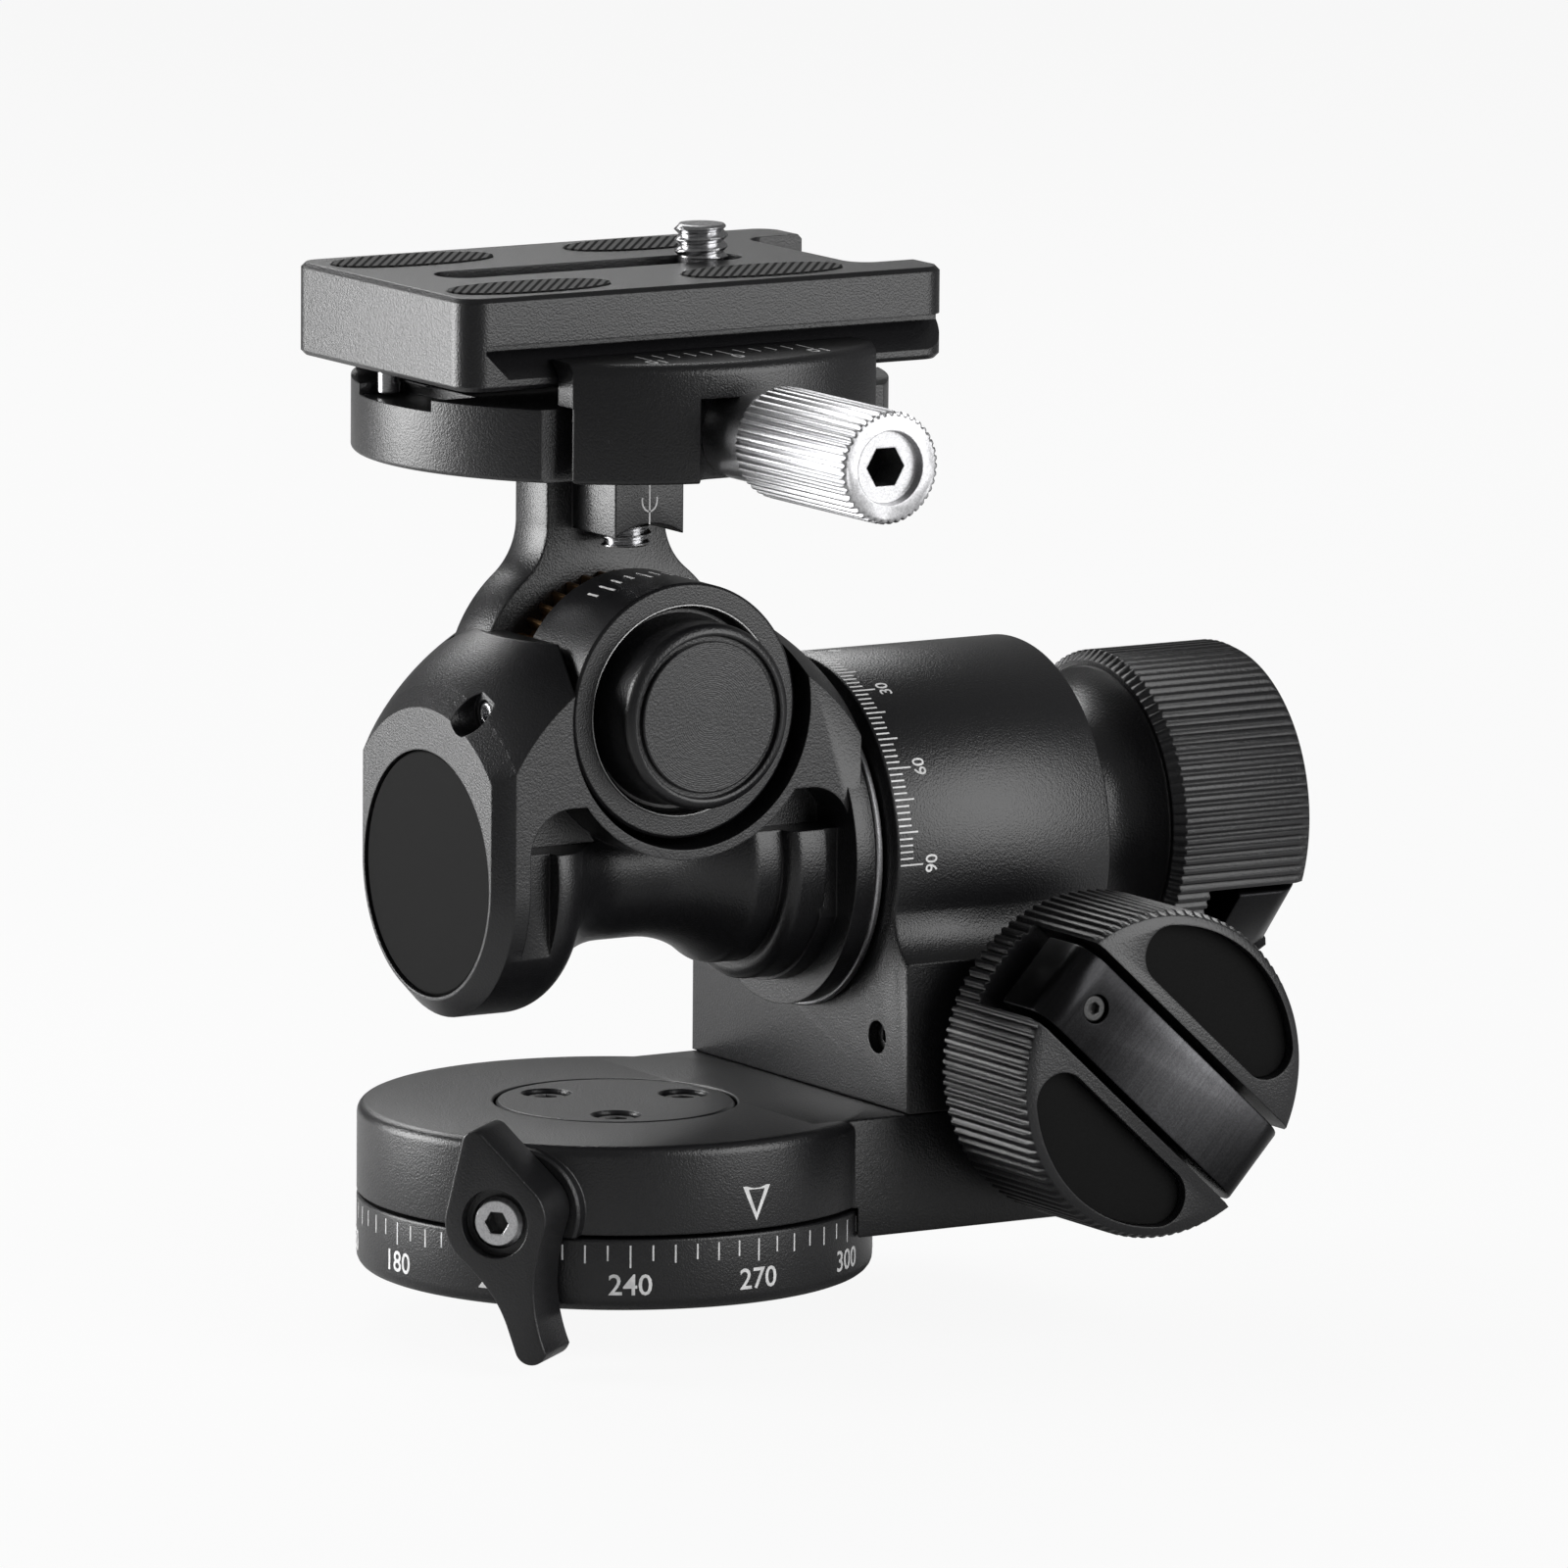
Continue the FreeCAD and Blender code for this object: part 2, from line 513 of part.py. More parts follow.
def bracket_parts():
    """Block and barrel in one piece, with the bushes, cover and bolts that belong to it."""
    body = new_body("bracket")
    cove_y = math.sqrt(float(s.barrel_radius) ** 2 - float(s.barrel_axis - s.cove_top) ** 2)
    pad(body, "block", "YZ", [[
        (-s.arm_half, s.pan_top), (s.arm_half, s.pan_top), (s.arm_half, s.ledge_height),
        (cove_y, s.cove_top, -s.cove_radius), (0, s.barrel_axis + s.barrel_radius, s.barrel_radius),
        (-cove_y, s.cove_top, s.barrel_radius), (-s.arm_half, s.ledge_height, -s.cove_radius)]],
        s.bracket_front, s.barrel_end)
    inner_face = s.bracket_front + s.journal_length
    pocket(body, "wheel_chamber", "YZ", [(0, s.barrel_axis, s.barrel_bore)], inner_face, s.barrel_end)
    pocket(body, "journal", "YZ", [(0, s.barrel_axis, s.bush_radius)], s.bracket_front, inner_face)
    pocket(body, "worm_tunnel", "XZ", [(s.lower_knob_x, ROLL_WORM_Z, s.roll_tunnel)],
           -s.worm_reach - 0.5, s.arm_half)
    bolt_top = s.pan_top + s.bolt_bite
    pocket(body, "bolt_threads", "XY", bolt_spots(s.bracket_bolt), s.pan_top, bolt_top)
    pocket(body, "side_screw_hole", "YZ", [(-s.side_hole_y, s.side_hole_z, s.side_hole)],
           s.bracket_front, s.bracket_front + s.side_hole_deep)

    tube("roll_bush", s.bush_radius, s.shaft_radius + s.fit_gap, s.bracket_front, inner_face,
         z=s.barrel_axis, turned=TO_X)
    tube("rear_cover", s.barrel_bore, s.spindle_radius + s.fit_gap, s.barrel_end - s.cover_thick,
         s.barrel_end, z=s.barrel_axis, turned=TO_X)
    tube("lower_bush_front", s.roll_tunnel, s.spindle_radius + s.fit_gap, s.worm_reach + 0.6,
         s.arm_half, x=s.lower_knob_x, z=ROLL_WORM_Z, turned=TO_FRONT)
    tube("lower_bush_rear", s.roll_tunnel, s.spindle_radius + s.fit_gap, -s.worm_reach - 0.5,
         -s.roll_worm_end - 0.6, x=s.lower_knob_x, z=ROLL_WORM_Z, turned=TO_FRONT)

    bolts = new_body("bracket_bolts")
    seat = s.arm_bottom + s.bolt_head_deep
    pad(bolts, "shanks", "XY", bolt_spots(s.bracket_bolt), seat, bolt_top)
    pad(bolts, "heads", "XY", bolt_spots(s.bolt_head), s.arm_bottom + 0.5, seat)
    sockets = [hexagon(x, y, 4.0) for x, y, _ in bolt_spots(s.bolt_head)]
    pocket(bolts, "sockets", "XY", sockets, s.arm_bottom + 0.5, seat - 1.5)

    grub = new_body("side_screw")
    pad(grub, "grub", "XY", [(0, 0, s.side_hole - s.fit_gap)], 1.2, s.side_hole_deep)
    pocket(grub, "grub_socket", "XY", [hexagon(0, 0, 1.5)], 1.2, 2.6)
    place(grub, s.bracket_front, -s.side_hole_y, s.side_hole_z, TO_X)


# --------------------------------------------------------------------------- gears
def tooth_outline(teeth, module, share, turned=0.0):
    """Closed wire of a gear with straight-sided teeth, thinner towards their tips."""
    pitch_radius = teeth * module / 2
    tip = pitch_radius + float(s.addendum) * module
    root = pitch_radius - float(s.dedendum) * module
    half_tooth = 360.0 / teeth * share / 2
    slant = math.degrees(math.tan(math.radians(float(s.pressure_angle))) * module / pitch_radius)
    points = []
    for tooth in range(int(teeth)):
        middle = 360.0 / teeth * (tooth + 0.5) + turned
        root_half = half_tooth + slant * float(s.dedendum)
        tip_half = half_tooth - slant * float(s.addendum)
        for radius, angle in ((root, -root_half), (tip, -tip_half), (tip, tip_half), (root, root_half)):
            points.append(V(*polar(radius, middle + angle), 0))
    return points


def worm_wheel(label, module, width, bore, lead_radius):
    """Worm wheel about Z, its teeth slanted to follow the worm's thread."""
    teeth = float(s.drive_teeth)
    module, width, bore = float(module), float(width), float(bore)
    pitch_radius = teeth * module / 2
    lead = math.atan(module / (2 * float(lead_radius)))
    twist = math.degrees(width / 2 * math.tan(lead) / pitch_radius)
    wires = []
    for height, turned in ((-width / 2, -twist), (width / 2, twist)):
        points = tooth_outline(teeth, module, float(s.tooth_share), turned)
        points = [p + V(0, 0, height) for p in points]
        wires.append(Part.makePolygon(points + points[:1]))
    solid = Part.makeLoft(wires, True, True)
    solid = solid.cut(Part.makeCylinder(bore, width * 2, V(0, 0, -width)))
    return shape_node(label, solid)


def worm_shaft(label, module, pitch_radius, start, end, facing):
    """Spindle about Z with a right-hand worm thread whose crest at height 0 faces an angle."""
    module, pitch_radius = float(module), float(pitch_radius)
    tip = pitch_radius + float(s.addendum) * module
    root = pitch_radius - float(s.dedendum) * module
    pitch = math.pi * module
    length = pitch * float(s.worm_turns)
    slope = math.tan(math.radians(float(s.pressure_angle)))
    crest = pitch * float(s.tooth_share) / 2 - slope * (tip - pitch_radius)
    foot = pitch * float(s.tooth_share) / 2 + slope * (pitch_radius - root)
    spindle = Part.makeCylinder(float(s.spindle_radius), float(size(end)) - float(size(start)),
                                V(0, 0, float(size(start))))
    core = Part.makeCylinder(root, length + pitch * 1.2, V(0, 0, -(length + pitch * 1.2) / 2))
    sunk = 0.15
    helix = Part.makeHelix(pitch, length, root - sunk)
    profile = Part.makePolygon([V(root - sunk, 0, -foot), V(tip, 0, -crest), V(tip, 0, crest),
                                V(root - sunk, 0, foot), V(root - sunk, 0, -foot)])
    thread = Part.Wire(helix.Edges).makePipeShell([profile], True, True)
    thread.translate(V(0, 0, -length / 2))
    thread.rotate(V(0, 0, 0), V(0, 0, 1), facing)
    if thread.Volume < 0:
        thread.reverse()
    return shape_node(label, spindle.fuse(core).fuse(thread))


# --------------------------------------------------------------------------- yoke
def end_outline(distance):
    """Outline of the yoke's closed end at a distance from the middle, drawn in along the bevel."""
    half = s.end_radius - (distance - s.yoke_left + s.end_chamfer)
    crown = math.sqrt(float(s.yoke_sphere) ** 2 - float(distance) ** 2)
    rise = math.sqrt(crown ** 2 - float(half) ** 2)
    axis = s.barrel_axis
    return [(-half, axis), (0, axis - half, half), (half, axis, half), (half, axis + rise),
            (0, axis + crown, crown), (-half, axis + rise, crown)]


def bevel(body, name, start, outline, end, far_outline):
    """Ruled transition between two outlines on parallel planes across X."""
    near = new_sketch(body, name + "_near", "YZ", start, [outline])
    far = new_sketch(body, name + "_far", "YZ", end, [far_outline])
    feature = body.newObject("PartDesign::AdditiveLoft", name)
    feature.Profile = near
    feature.Sections = [far]
    feature.Ruled = True
    settle(body, feature)
    return feature


def roll_turned(body, name, kind, outline):
    """Adds or cuts a shape turned about the roll axis from an outline (x, distance from the axis)."""
    before = body.Tip.Shape.Volume if kind == "Groove" else None
    sketch = new_sketch(body, name + "_outline", "XZ", 0, [outline], lift=s.barrel_axis)
    feature = body.newObject("PartDesign::" + kind, name)
    feature.Profile = sketch
    feature.ReferenceAxis = (sketch, ["H_Axis"])
    feature.Angle = 360
    settle(body, feature, smaller_than=before)
    return feature


def rise_angle(height, radii):
    """Angle of the slope where two arcs of opposite bend meet to climb a height."""
    return math.acos(1 - float(height) / float(radii))


def spool_outline():
    """Half section of the worm tube, which flares into the left leg and into the right boss."""
    tube_radius, leg, flare = s.tube_radius, s.leg_round, s.left_flare
    slope = rise_angle(s.end_radius - tube_radius, leg + flare)
    left = [(-s.leg_start + (leg + flare) * math.sin(slope), tube_radius),
            (-s.leg_start + leg * math.sin(slope), s.end_radius - leg * (1 - math.cos(slope)), -flare),
            (-s.leg_start, s.end_radius, leg)]
    edge, flare = s.boss_round, s.right_flare
    slope = rise_angle(s.boss_radius - tube_radius, edge + flare)
    right = [(s.boss_flat, s.boss_radius),
             (s.boss_flat - edge * math.sin(slope), s.boss_radius - edge * (1 - math.cos(slope)), edge),
             (s.boss_flat - (edge + flare) * math.sin(slope), tube_radius, -flare)]
    collar = [(s.land_right, s.collar_radius), (s.collar_start + s.collar_round, s.collar_radius),
              (s.collar_start, s.collar_radius - s.collar_round, s.collar_round),
              (s.collar_start, s.boss_radius)]
    return [(-s.leg_start, 0), (s.land_right, 0)] + collar + right + left


def yoke_blank(body):
    """Outer form: a ball cut flat at the front, back and top, with the closed end and the window."""
    axis, inner_end = s.barrel_axis, s.yoke_left - s.end_chamfer
    pad(body, "shoulders", "XZ", [[(-inner_end, axis), (s.leg_outer, axis), (s.leg_outer, s.yoke_top),
                                    (-inner_end, s.yoke_top)]], -s.yoke_back, s.yoke_front)
    ball, over = s.yoke_sphere, s.yoke_sphere + 10
    left, right = inner_end + 0.5, s.leg_outer + 0.5
    roll_turned(body, "ball_trim", "Groove", [
        (-left, over), (-left, math.sqrt(float(ball) ** 2 - float(left) ** 2)), (0, ball, -ball),
        (right, math.sqrt(float(ball) ** 2 - float(right) ** 2), -ball), (right, over)])
    pad(body, "left_end", "YZ", [end_outline(inner_end)], -inner_end, -s.leg_start)
    bevel(body, "end_bevel", -inner_end, end_outline(inner_end), -s.yoke_left, end_outline(s.yoke_left))
    pad(body, "right_leg", "YZ", [(0, axis, s.right_leg_radius)], s.land_right, s.leg_outer)
    low, corner, half, top = axis - s.silver_radius, s.window_corner, s.window_half, s.window_top
    front, back = s.yoke_front, s.yoke_back
    for side, near, far in (("front", front - s.recess_depth, front), ("back", -back, -back + s.recess_depth)):
        pocket(body, side + "_window", "XZ", [[
            (-half, low), (half, low), (half, top - corner), (half - corner, top, corner),
            (-half + corner, top), (-half, top - corner, corner)]], near, far)
    near, far, top = s.land_left, s.land_right, s.window_top - 1
    pocket(body, "underpass", "XZ", [[
        (-near, low), (far, low), (far, top - corner), (far - corner, top, corner),
        (-near + corner, top), (-near, top - corner, corner)]], -back, front)


def yoke_bores(body):
    """Room for the tilt hub, the arm's swing, the pin, the worm, the roll shaft and the screws."""
    axis = s.barrel_axis
    pocket(body, "hub_bore", "XZ", [(0, TILT_AXIS, s.cradle_radius)], -s.wheel_back - s.swing_gap,
           s.yoke_front)
    low, swing = s.swing_low, s.hub_flange + s.swing_gap
    reach = math.sqrt(float(swing) ** 2 - float(TILT_AXIS - low) ** 2)
    pocket(body, "arm_swing", "XZ", [[(-reach, low, swing), (reach, low), (0, TILT_AXIS + swing, swing)]],
           -s.hub_back, -s.wheel_back)
    pocket(body, "hub_pit", "XZ", [(0, TILT_AXIS, s.hub_low + s.swing_gap)], -s.hub_back, -s.wheel_back)
    pocket(body, "pin_hole", "XZ", [(0, TILT_AXIS, s.pin_radius)], -s.yoke_back, -s.hub_back)
    pocket(body, "pin_seat", "XZ", [(0, TILT_AXIS, s.pin_head + s.fit_gap)], -s.yoke_back,
           -s.yoke_back + s.pin_head_deep)
    pocket(body, "worm_tunnel", "YZ", [(0, axis, s.tunnel_radius)], -s.yoke_left, s.boss_start)
    pocket(body, "disc_seat", "YZ", [(0, axis, s.insert_disc + s.fit_gap)],
           -s.yoke_left, -s.yoke_left + s.insert_depth)
    pocket(body, "shaft_way", "YZ", [(0, axis, s.spindle_radius + s.worm_gap)], s.boss_start, s.yoke_right)
    pocket(body, "shaft_seat", "YZ", [(0, axis, s.shaft_radius)], s.boss_start + s.shaft_step, s.yoke_right)
    spot = (-s.adjuster_y, s.adjuster_z)
    pocket(body, "adjuster_mouth", "YZ", [spot + (s.adjuster_mouth,)], -s.yoke_left, -s.adjuster_face)
    pocket(body, "adjuster_hole", "YZ", [spot + (s.adjuster_radius,)], -s.adjuster_face,
           -s.adjuster_face + s.adjuster_length)


def yoke_parts():
    """Cradle that rolls in the barrel and carries the tilt hub and the tilt worm."""
    body = new_body("yoke_frame")
    yoke_blank(body)
    roll_turned(body, "spool", "Revolution", spool_outline())
    rim = s.rim_radius
    pad(body, "cradle", "XZ", [[(-rim, TILT_AXIS), (0, TILT_AXIS - rim, rim), (rim, TILT_AXIS, rim)]],
        -s.yoke_back, s.yoke_front)
    pad(body, "flange", "YZ", [(0, s.barrel_axis, s.flange_radius)], s.flange_start, s.yoke_right)
    yoke_bores(body)

    screw = new_body("adjusting_screw")
    long = s.adjuster_length
    pad(screw, "adjuster", "XY", [(0, 0, s.adjuster_radius - 0.02)], 0, long)
    pocket(screw, "adjuster_socket", "XY", [hexagon(0, 0, 1.5)], 0, 1.4)
    place(screw, -s.adjuster_face, -s.adjuster_y, s.adjuster_z, TO_X)

    axis = s.barrel_axis
    tube("end_disc", s.insert_disc, 0.8, -s.yoke_left + 0.3, -s.yoke_left + s.insert_depth,
         z=axis, turned=TO_X)
    tube("worm_bush_left", s.tunnel_radius, s.spindle_radius + s.fit_gap, -s.yoke_left + s.insert_depth,
         -s.worm_bush_end, z=axis, turned=TO_X)
    tube("worm_bush_right", s.tunnel_radius, s.spindle_radius + s.fit_gap, s.boss_start - s.bush_short,
         s.boss_start, z=axis, turned=TO_X)
    tube("thrust_ring", s.silver_radius, s.shaft_radius, s.yoke_right, s.yoke_right + s.silver_width,
         z=axis, turned=TO_X)
    tube("roll_shaft", s.shaft_radius, s.shaft_bore, s.boss_start + s.shaft_step, s.roll_shaft_end,
         z=axis, turned=TO_X)
    tube("roll_nut", s.roll_nut_radius, s.shaft_radius, s.lower_knob_x + s.roll_wheel_width / 2,
         s.roll_shaft_end - 0.1, z=axis, turned=TO_X)
    wheel = worm_wheel("roll_wheel", s.roll_module, s.roll_wheel_width, s.shaft_radius,
                       s.roll_centres - s.drive_teeth * s.roll_module / 2)
    place(wheel, s.lower_knob_x, 0, axis, TO_X)

    pin = new_body("tilt_pin")
    pad(pin, "pin", "XY", [(0, 0, s.pin_radius)], -s.yoke_back, s.pin_reach)
    pad(pin, "pin_head", "XY", [(0, 0, s.pin_head)], -s.yoke_back, -s.yoke_back + s.pin_head_deep)
    pocket(pin, "pin_socket", "XY", [hexagon(0, 0, 5.0)], -s.yoke_back, -s.yoke_back + 1.0)
    place(pin, 0, 0, TILT_AXIS, TO_FRONT)


def tilt_parts():
    """Hub, bronze wheel and arm that tilt on the pin, with the cap on the front."""
    drum = new_body("tilt_drum")
    well = s.drum_front - s.drum_well
    turn(drum, "drum_profile", [
        (s.core_radius, s.wheel_front), (s.drum_radius, s.wheel_front),
        (s.drum_radius, s.drum_front - s.drum_edge), (s.drum_radius - s.drum_edge, s.drum_front),
        (s.face_inner, s.drum_front), (s.face_inner, well), (s.core_radius, well)])
    pocket(drum, "worm_relief_cut", "XY", [relief_outline()], s.wheel_front, s.tunnel_radius + 0.3)
    place(drum, 0, 0, TILT_AXIS, TO_FRONT)

    wheel = worm_wheel("tilt_wheel", s.tilt_module, s.tilt_wheel_width, s.core_radius,
                       s.tilt_centres - s.drive_teeth * s.tilt_module / 2)
    place(wheel, 0, (s.wheel_back - s.wheel_front) / 2, TILT_AXIS, TO_FRONT)

    arm = new_body("platform_arm")
    hub_top = s.hub_flange
    half, fillet = s.neck_half, s.neck_fillet
    side = math.sqrt((float(hub_top) + float(fillet)) ** 2 - (float(half) + float(fillet)) ** 2)
    touch_x = (float(half) + float(fillet)) * float(hub_top) / (float(hub_top) + float(fillet))
    touch_z = side * float(hub_top) / (float(hub_top) + float(fillet))
    crown = s.clamp_bottom - TILT_AXIS
    pad(arm, "arm_plate", "XZ", [[
        (-half, crown), (-half, side), (-touch_x, touch_z, -fillet), (-hub_top, 0, hub_top),
        (hub_top, 0), (touch_x, touch_z, hub_top), (half, side, -fillet), (half, crown)]],
        -s.arm_back, -s.wheel_back)
    pad(arm, "hub_lower", "XZ", [(0, 0, s.hub_low)], -s.arm_back, -s.wheel_back)
    pad(arm, "core", "XZ", [(0, 0, s.core_radius)], -s.wheel_back, well)
    block_low = s.block_bottom - TILT_AXIS
    pad(arm, "index_block", "XZ", [[
        (-s.block_face, block_low), (s.block_face, block_low, -s.block_arch), (s.block_face, crown),
        (-s.block_face, crown)]], -s.wheel_back, s.block_front)
    blend(arm, "block_corners", "Fillet", s.block_round, lambda p, e: abs(p.y + float(s.block_front)) < 0.01
          and abs(abs(p.x) - float(s.block_face)) < 0.01)
    pocket(arm, "pin_bore", "XZ", [(0, 0, s.pin_radius + s.fit_gap)], -s.arm_back, s.pin_reach + 0.5)
    pocket(arm, "screw_way", "XY", [(0, -s.bolt_y, s.bolt_radius)], block_low - 1, crown)
    place(arm, 0, 0, TILT_AXIS)

    cap = new_body("tilt_cap")
    seat = s.cap_front - s.cap_disc_deep
    turn(cap, "cap_profile", [
        (0, well), (s.cap_rim, well), (s.cap_rim, s.cap_front - s.cap_round),
        (s.cap_rim - s.cap_round, s.cap_front, s.cap_round), (s.cap_disc + 0.2, s.cap_front),
        (s.cap_disc + 0.2, seat), (0, seat)])
    place(cap, 0, 0, TILT_AXIS, TO_FRONT)
    face = rod("tilt_cap_disc", s.cap_disc, seat, s.cap_front, z=TILT_AXIS, turned=TO_FRONT)
    NODES.append(face)


def relief_outline():
    """Sector below the tilt axis that frees the drum from the worm's thread."""
    inner, outer, spread = s.worm_relief, s.drum_radius + 3, 56.0
    near = [polar(inner, -90 + angle) for angle in (-spread, 0, spread)]
    far = [polar(outer, -90 + angle) for angle in (-spread, 0, spread)]
    return [far[0], far[1] + (outer,), far[2] + (outer,), near[2], near[1] + (-inner,),
            near[0] + (-inner,)]


# --------------------------------------------------------------------------- knobs
def knob_parts(prefix, x, y, z, turned, neck_length, bar_turn):
    """Knurled knob about its own Z: neck, grip with two wells and a release bar across its face."""
    long = s.knob_length
    neck = new_body(prefix + "_knob_neck")
    turn(neck, "neck_profile", [
        (s.spindle_radius, -neck_length), (s.neck_radius, -neck_length),
        (s.neck_radius, -neck_length * 0.45), (s.knob_skirt, 0, -s.neck_flare * 1.0), (s.spindle_radius, 0)])
    place(neck, x, y, z, turned)

    grip = new_body(prefix + "_knob_grip")
    turn(grip, "grip_profile", [
        (0, 0), (s.knob_skirt, 0), (s.knob_radius, s.knob_round, s.knob_round * 2),
        (s.knob_radius, long - s.knob_round),
        (s.knob_radius - s.knob_round, long, s.knob_round), (0, long)])
    slot, over = s.bar_width / 2 + s.bar_gap, s.knob_radius * 1.5
    pocket(grip, "bar_slot", "XY", [[(-over, -slot), (over, -slot), (over, slot), (-over, slot)]],
           s.knob_floor, long)
    pocket(grip, "wells", "XY", [well_outline(1), well_outline(-1)], long - s.well_depth, long)
    pocket(grip, "stem_bore", "XY", [(0, 0, s.stem_radius + s.fit_gap)], 1.0, s.knob_floor)
    facing = turned.multiply(FreeCAD.Rotation(V(0, 0, 1), float(bar_turn)))
    place(grip, x, y, z, facing)

    inlays = new_body(prefix + "_knob_inlays")
    pad(inlays, "inlays", "XY", [well_outline(1), well_outline(-1)], long - s.well_depth,
        long - s.inlay_sink)
    place(inlays, x, y, z, facing)

    bar = new_body(prefix + "_release_bar")
    bar_low = long - s.bar_depth
    half = s.bar_width / 2
    reach = math.sqrt((float(s.knob_radius) - 0.2) ** 2 - float(half) ** 2)
    face = long - 0.1
    pad(bar, "bar", "XZ", [[
        (-reach, bar_low), (reach, bar_low), (reach, face - s.bar_bevel), (reach - s.bar_bevel, face),
        (-reach + s.bar_bevel, face), (-reach, face - s.bar_bevel)]], -half, half)
    pad(bar, "stem", "XY", [(0, 0, s.stem_radius)], s.bar_travel + 1.3, bar_low)
    pocket(bar, "screw_hole", "XY", [(-s.bar_screw_x, 0, s.bar_screw)], bar_low, face)
    place(bar, x, y, z, facing)

    screw = new_body(prefix + "_bar_screw")
    pad(screw, "screw", "XY", [(-s.bar_screw_x, 0, s.bar_screw - s.fit_gap)], bar_low, long - 0.6)
    pocket(screw, "screw_socket", "XY", [hexagon(-s.bar_screw_x, 0, 1.5)], long - 1.8, long - 0.6)
    place(screw, x, y, z, facing)


def well_outline(side):
    """Half-moon of the knob's face on one side of the bar, its corners rounded."""
    inner, outer, corner = float(s.well_inner), float(s.well_outer), float(s.well_corner)
    centre_y = inner + corner
    centre_x = math.sqrt((outer - corner) ** 2 - centre_y ** 2)
    scale = outer / (outer - corner)
    ends = [(-centre_x, inner), (centre_x, inner), (centre_x * scale, centre_y * scale),
            (-centre_x * scale, centre_y * scale)]
    if side < 0:
        ends = [(-x, -y) for x, y in ends]
    return [ends[0] + (corner,), ends[1], ends[2] + (corner,), ends[3] + (outer,)]


# --------------------------------------------------------------------------- clamp and plate
def clamp_parts():
    """Round clamp: body with the rear jaw, sliding front jaw, its screw and knob, pins and bolt."""
    body = new_body("clamp_body")
    pad(body, "disc", "XY", [(0, 0, s.clamp_radius)], s.clamp_bottom, s.jaw_top)
    wide, over = OUTSIDE, s.jaw_top + s.pad_y
    lip = s.jaw_lip
    pocket(body, "channel", "YZ", [[
        (-wide, s.clamp_bottom), (-s.jaw_split, s.clamp_bottom), (-s.jaw_split, s.clamp_floor),
        (FLANGE_WALL, s.clamp_floor), (FLANGE_WALL, LIP_BOTTOM), (lip, s.jaw_top), (lip, over),
        (-wide, over)]], -wide, wide)
    half = s.channel_half
    for side, near, far in (("left", -wide, -s.notch_start), ("right", s.notch_start, wide)):
        pocket(body, side + "_notch", "YZ", [[(-half, s.channel_floor), (half, s.channel_floor),
                                               (half, s.clamp_floor), (-half, s.clamp_floor)]], near, far)
    pocket(body, "screw_thread", "XZ", [(0, s.jaw_axis, s.clamp_thread + s.fit_gap)], 2, s.jaw_split)
    pins = [(-s.guide_x, s.jaw_axis, s.guide_radius), (s.guide_x, s.jaw_axis, s.guide_radius)]
    pocket(body, "pin_seats", "XZ", pins, s.guide_start, s.jaw_split)
    seat, head = s.clamp_floor - s.clamp_bolt_deep, s.clamp_bolt_head
    pocket(body, "bolt_hole", "XY", [(0, -s.bolt_y, s.bolt_radius)], s.clamp_bottom, s.clamp_floor)
    pocket(body, "bolt_seat", "XY", [(0, -s.bolt_y, head + 0.1)], seat, s.clamp_floor)

    guide = new_body("guide_pins")
    pad(guide, "pins", "XZ", pins, s.guide_start, s.guide_end)

    bolt = new_body("clamp_bolt")
    head_top = s.clamp_floor - 0.2
    pad(bolt, "bolt_shank", "XY", [(0, -s.bolt_y, s.bolt_radius)], s.bolt_low, seat)
    pad(bolt, "bolt_head", "XY", [(0, -s.bolt_y, head)], seat, head_top)
    pocket(bolt, "bolt_socket", "XY", [hexagon(0, -s.bolt_y, 4.0)], seat + 0.4, head_top)

    jaw = new_body("clamp_jaw")
    pad(jaw, "jaw_disc", "XY", [(0, 0, s.clamp_radius)], s.clamp_bottom, s.jaw_top)
    blend(jaw, "jaw_round", "Fillet", s.jaw_edge, lambda p, e: abs(p.z - float(s.jaw_top)) < 0.01)
    pocket(jaw, "inner_side", "YZ", [[
        (-s.jaw_back, s.clamp_bottom), (wide, s.clamp_bottom), (wide, over), (-lip, over), (-lip, s.jaw_top),
        (-FLANGE_WALL, LIP_BOTTOM), (-FLANGE_WALL, s.clamp_floor + 0.3),
        (-s.jaw_back, s.clamp_floor + 0.3)]], -wide, wide)
    side_x, roof = s.jaw_side, s.jaw_top - s.pocket_roof
    pocket(jaw, "jaw_ends", "XZ", [
        [(-wide, s.clamp_bottom), (-side_x, s.clamp_bottom), (-side_x, s.jaw_top), (-wide, s.jaw_top)],
        [(side_x, s.clamp_bottom), (wide, s.clamp_bottom), (wide, s.jaw_top), (side_x, s.jaw_top)]],
        0, s.clamp_radius)
    pocket(jaw, "knob_pocket", "XZ", [[
        (-s.pocket_half, s.clamp_bottom), (s.pocket_half, s.clamp_bottom), (s.pocket_half, roof),
        (-s.pocket_half, roof)]], s.pocket_floor, s.clamp_radius)
    pocket(jaw, "screw_hole", "XZ", [(0, s.jaw_axis, s.clamp_thread + 0.1)], s.jaw_back, s.pocket_floor)
    slides = [(-s.guide_x, s.jaw_axis, s.guide_radius + s.fit_gap),
              (s.guide_x, s.jaw_axis, s.guide_radius + s.fit_gap)]
    pocket(jaw, "slides", "XZ", slides, s.jaw_back, s.guide_end + 0.4)

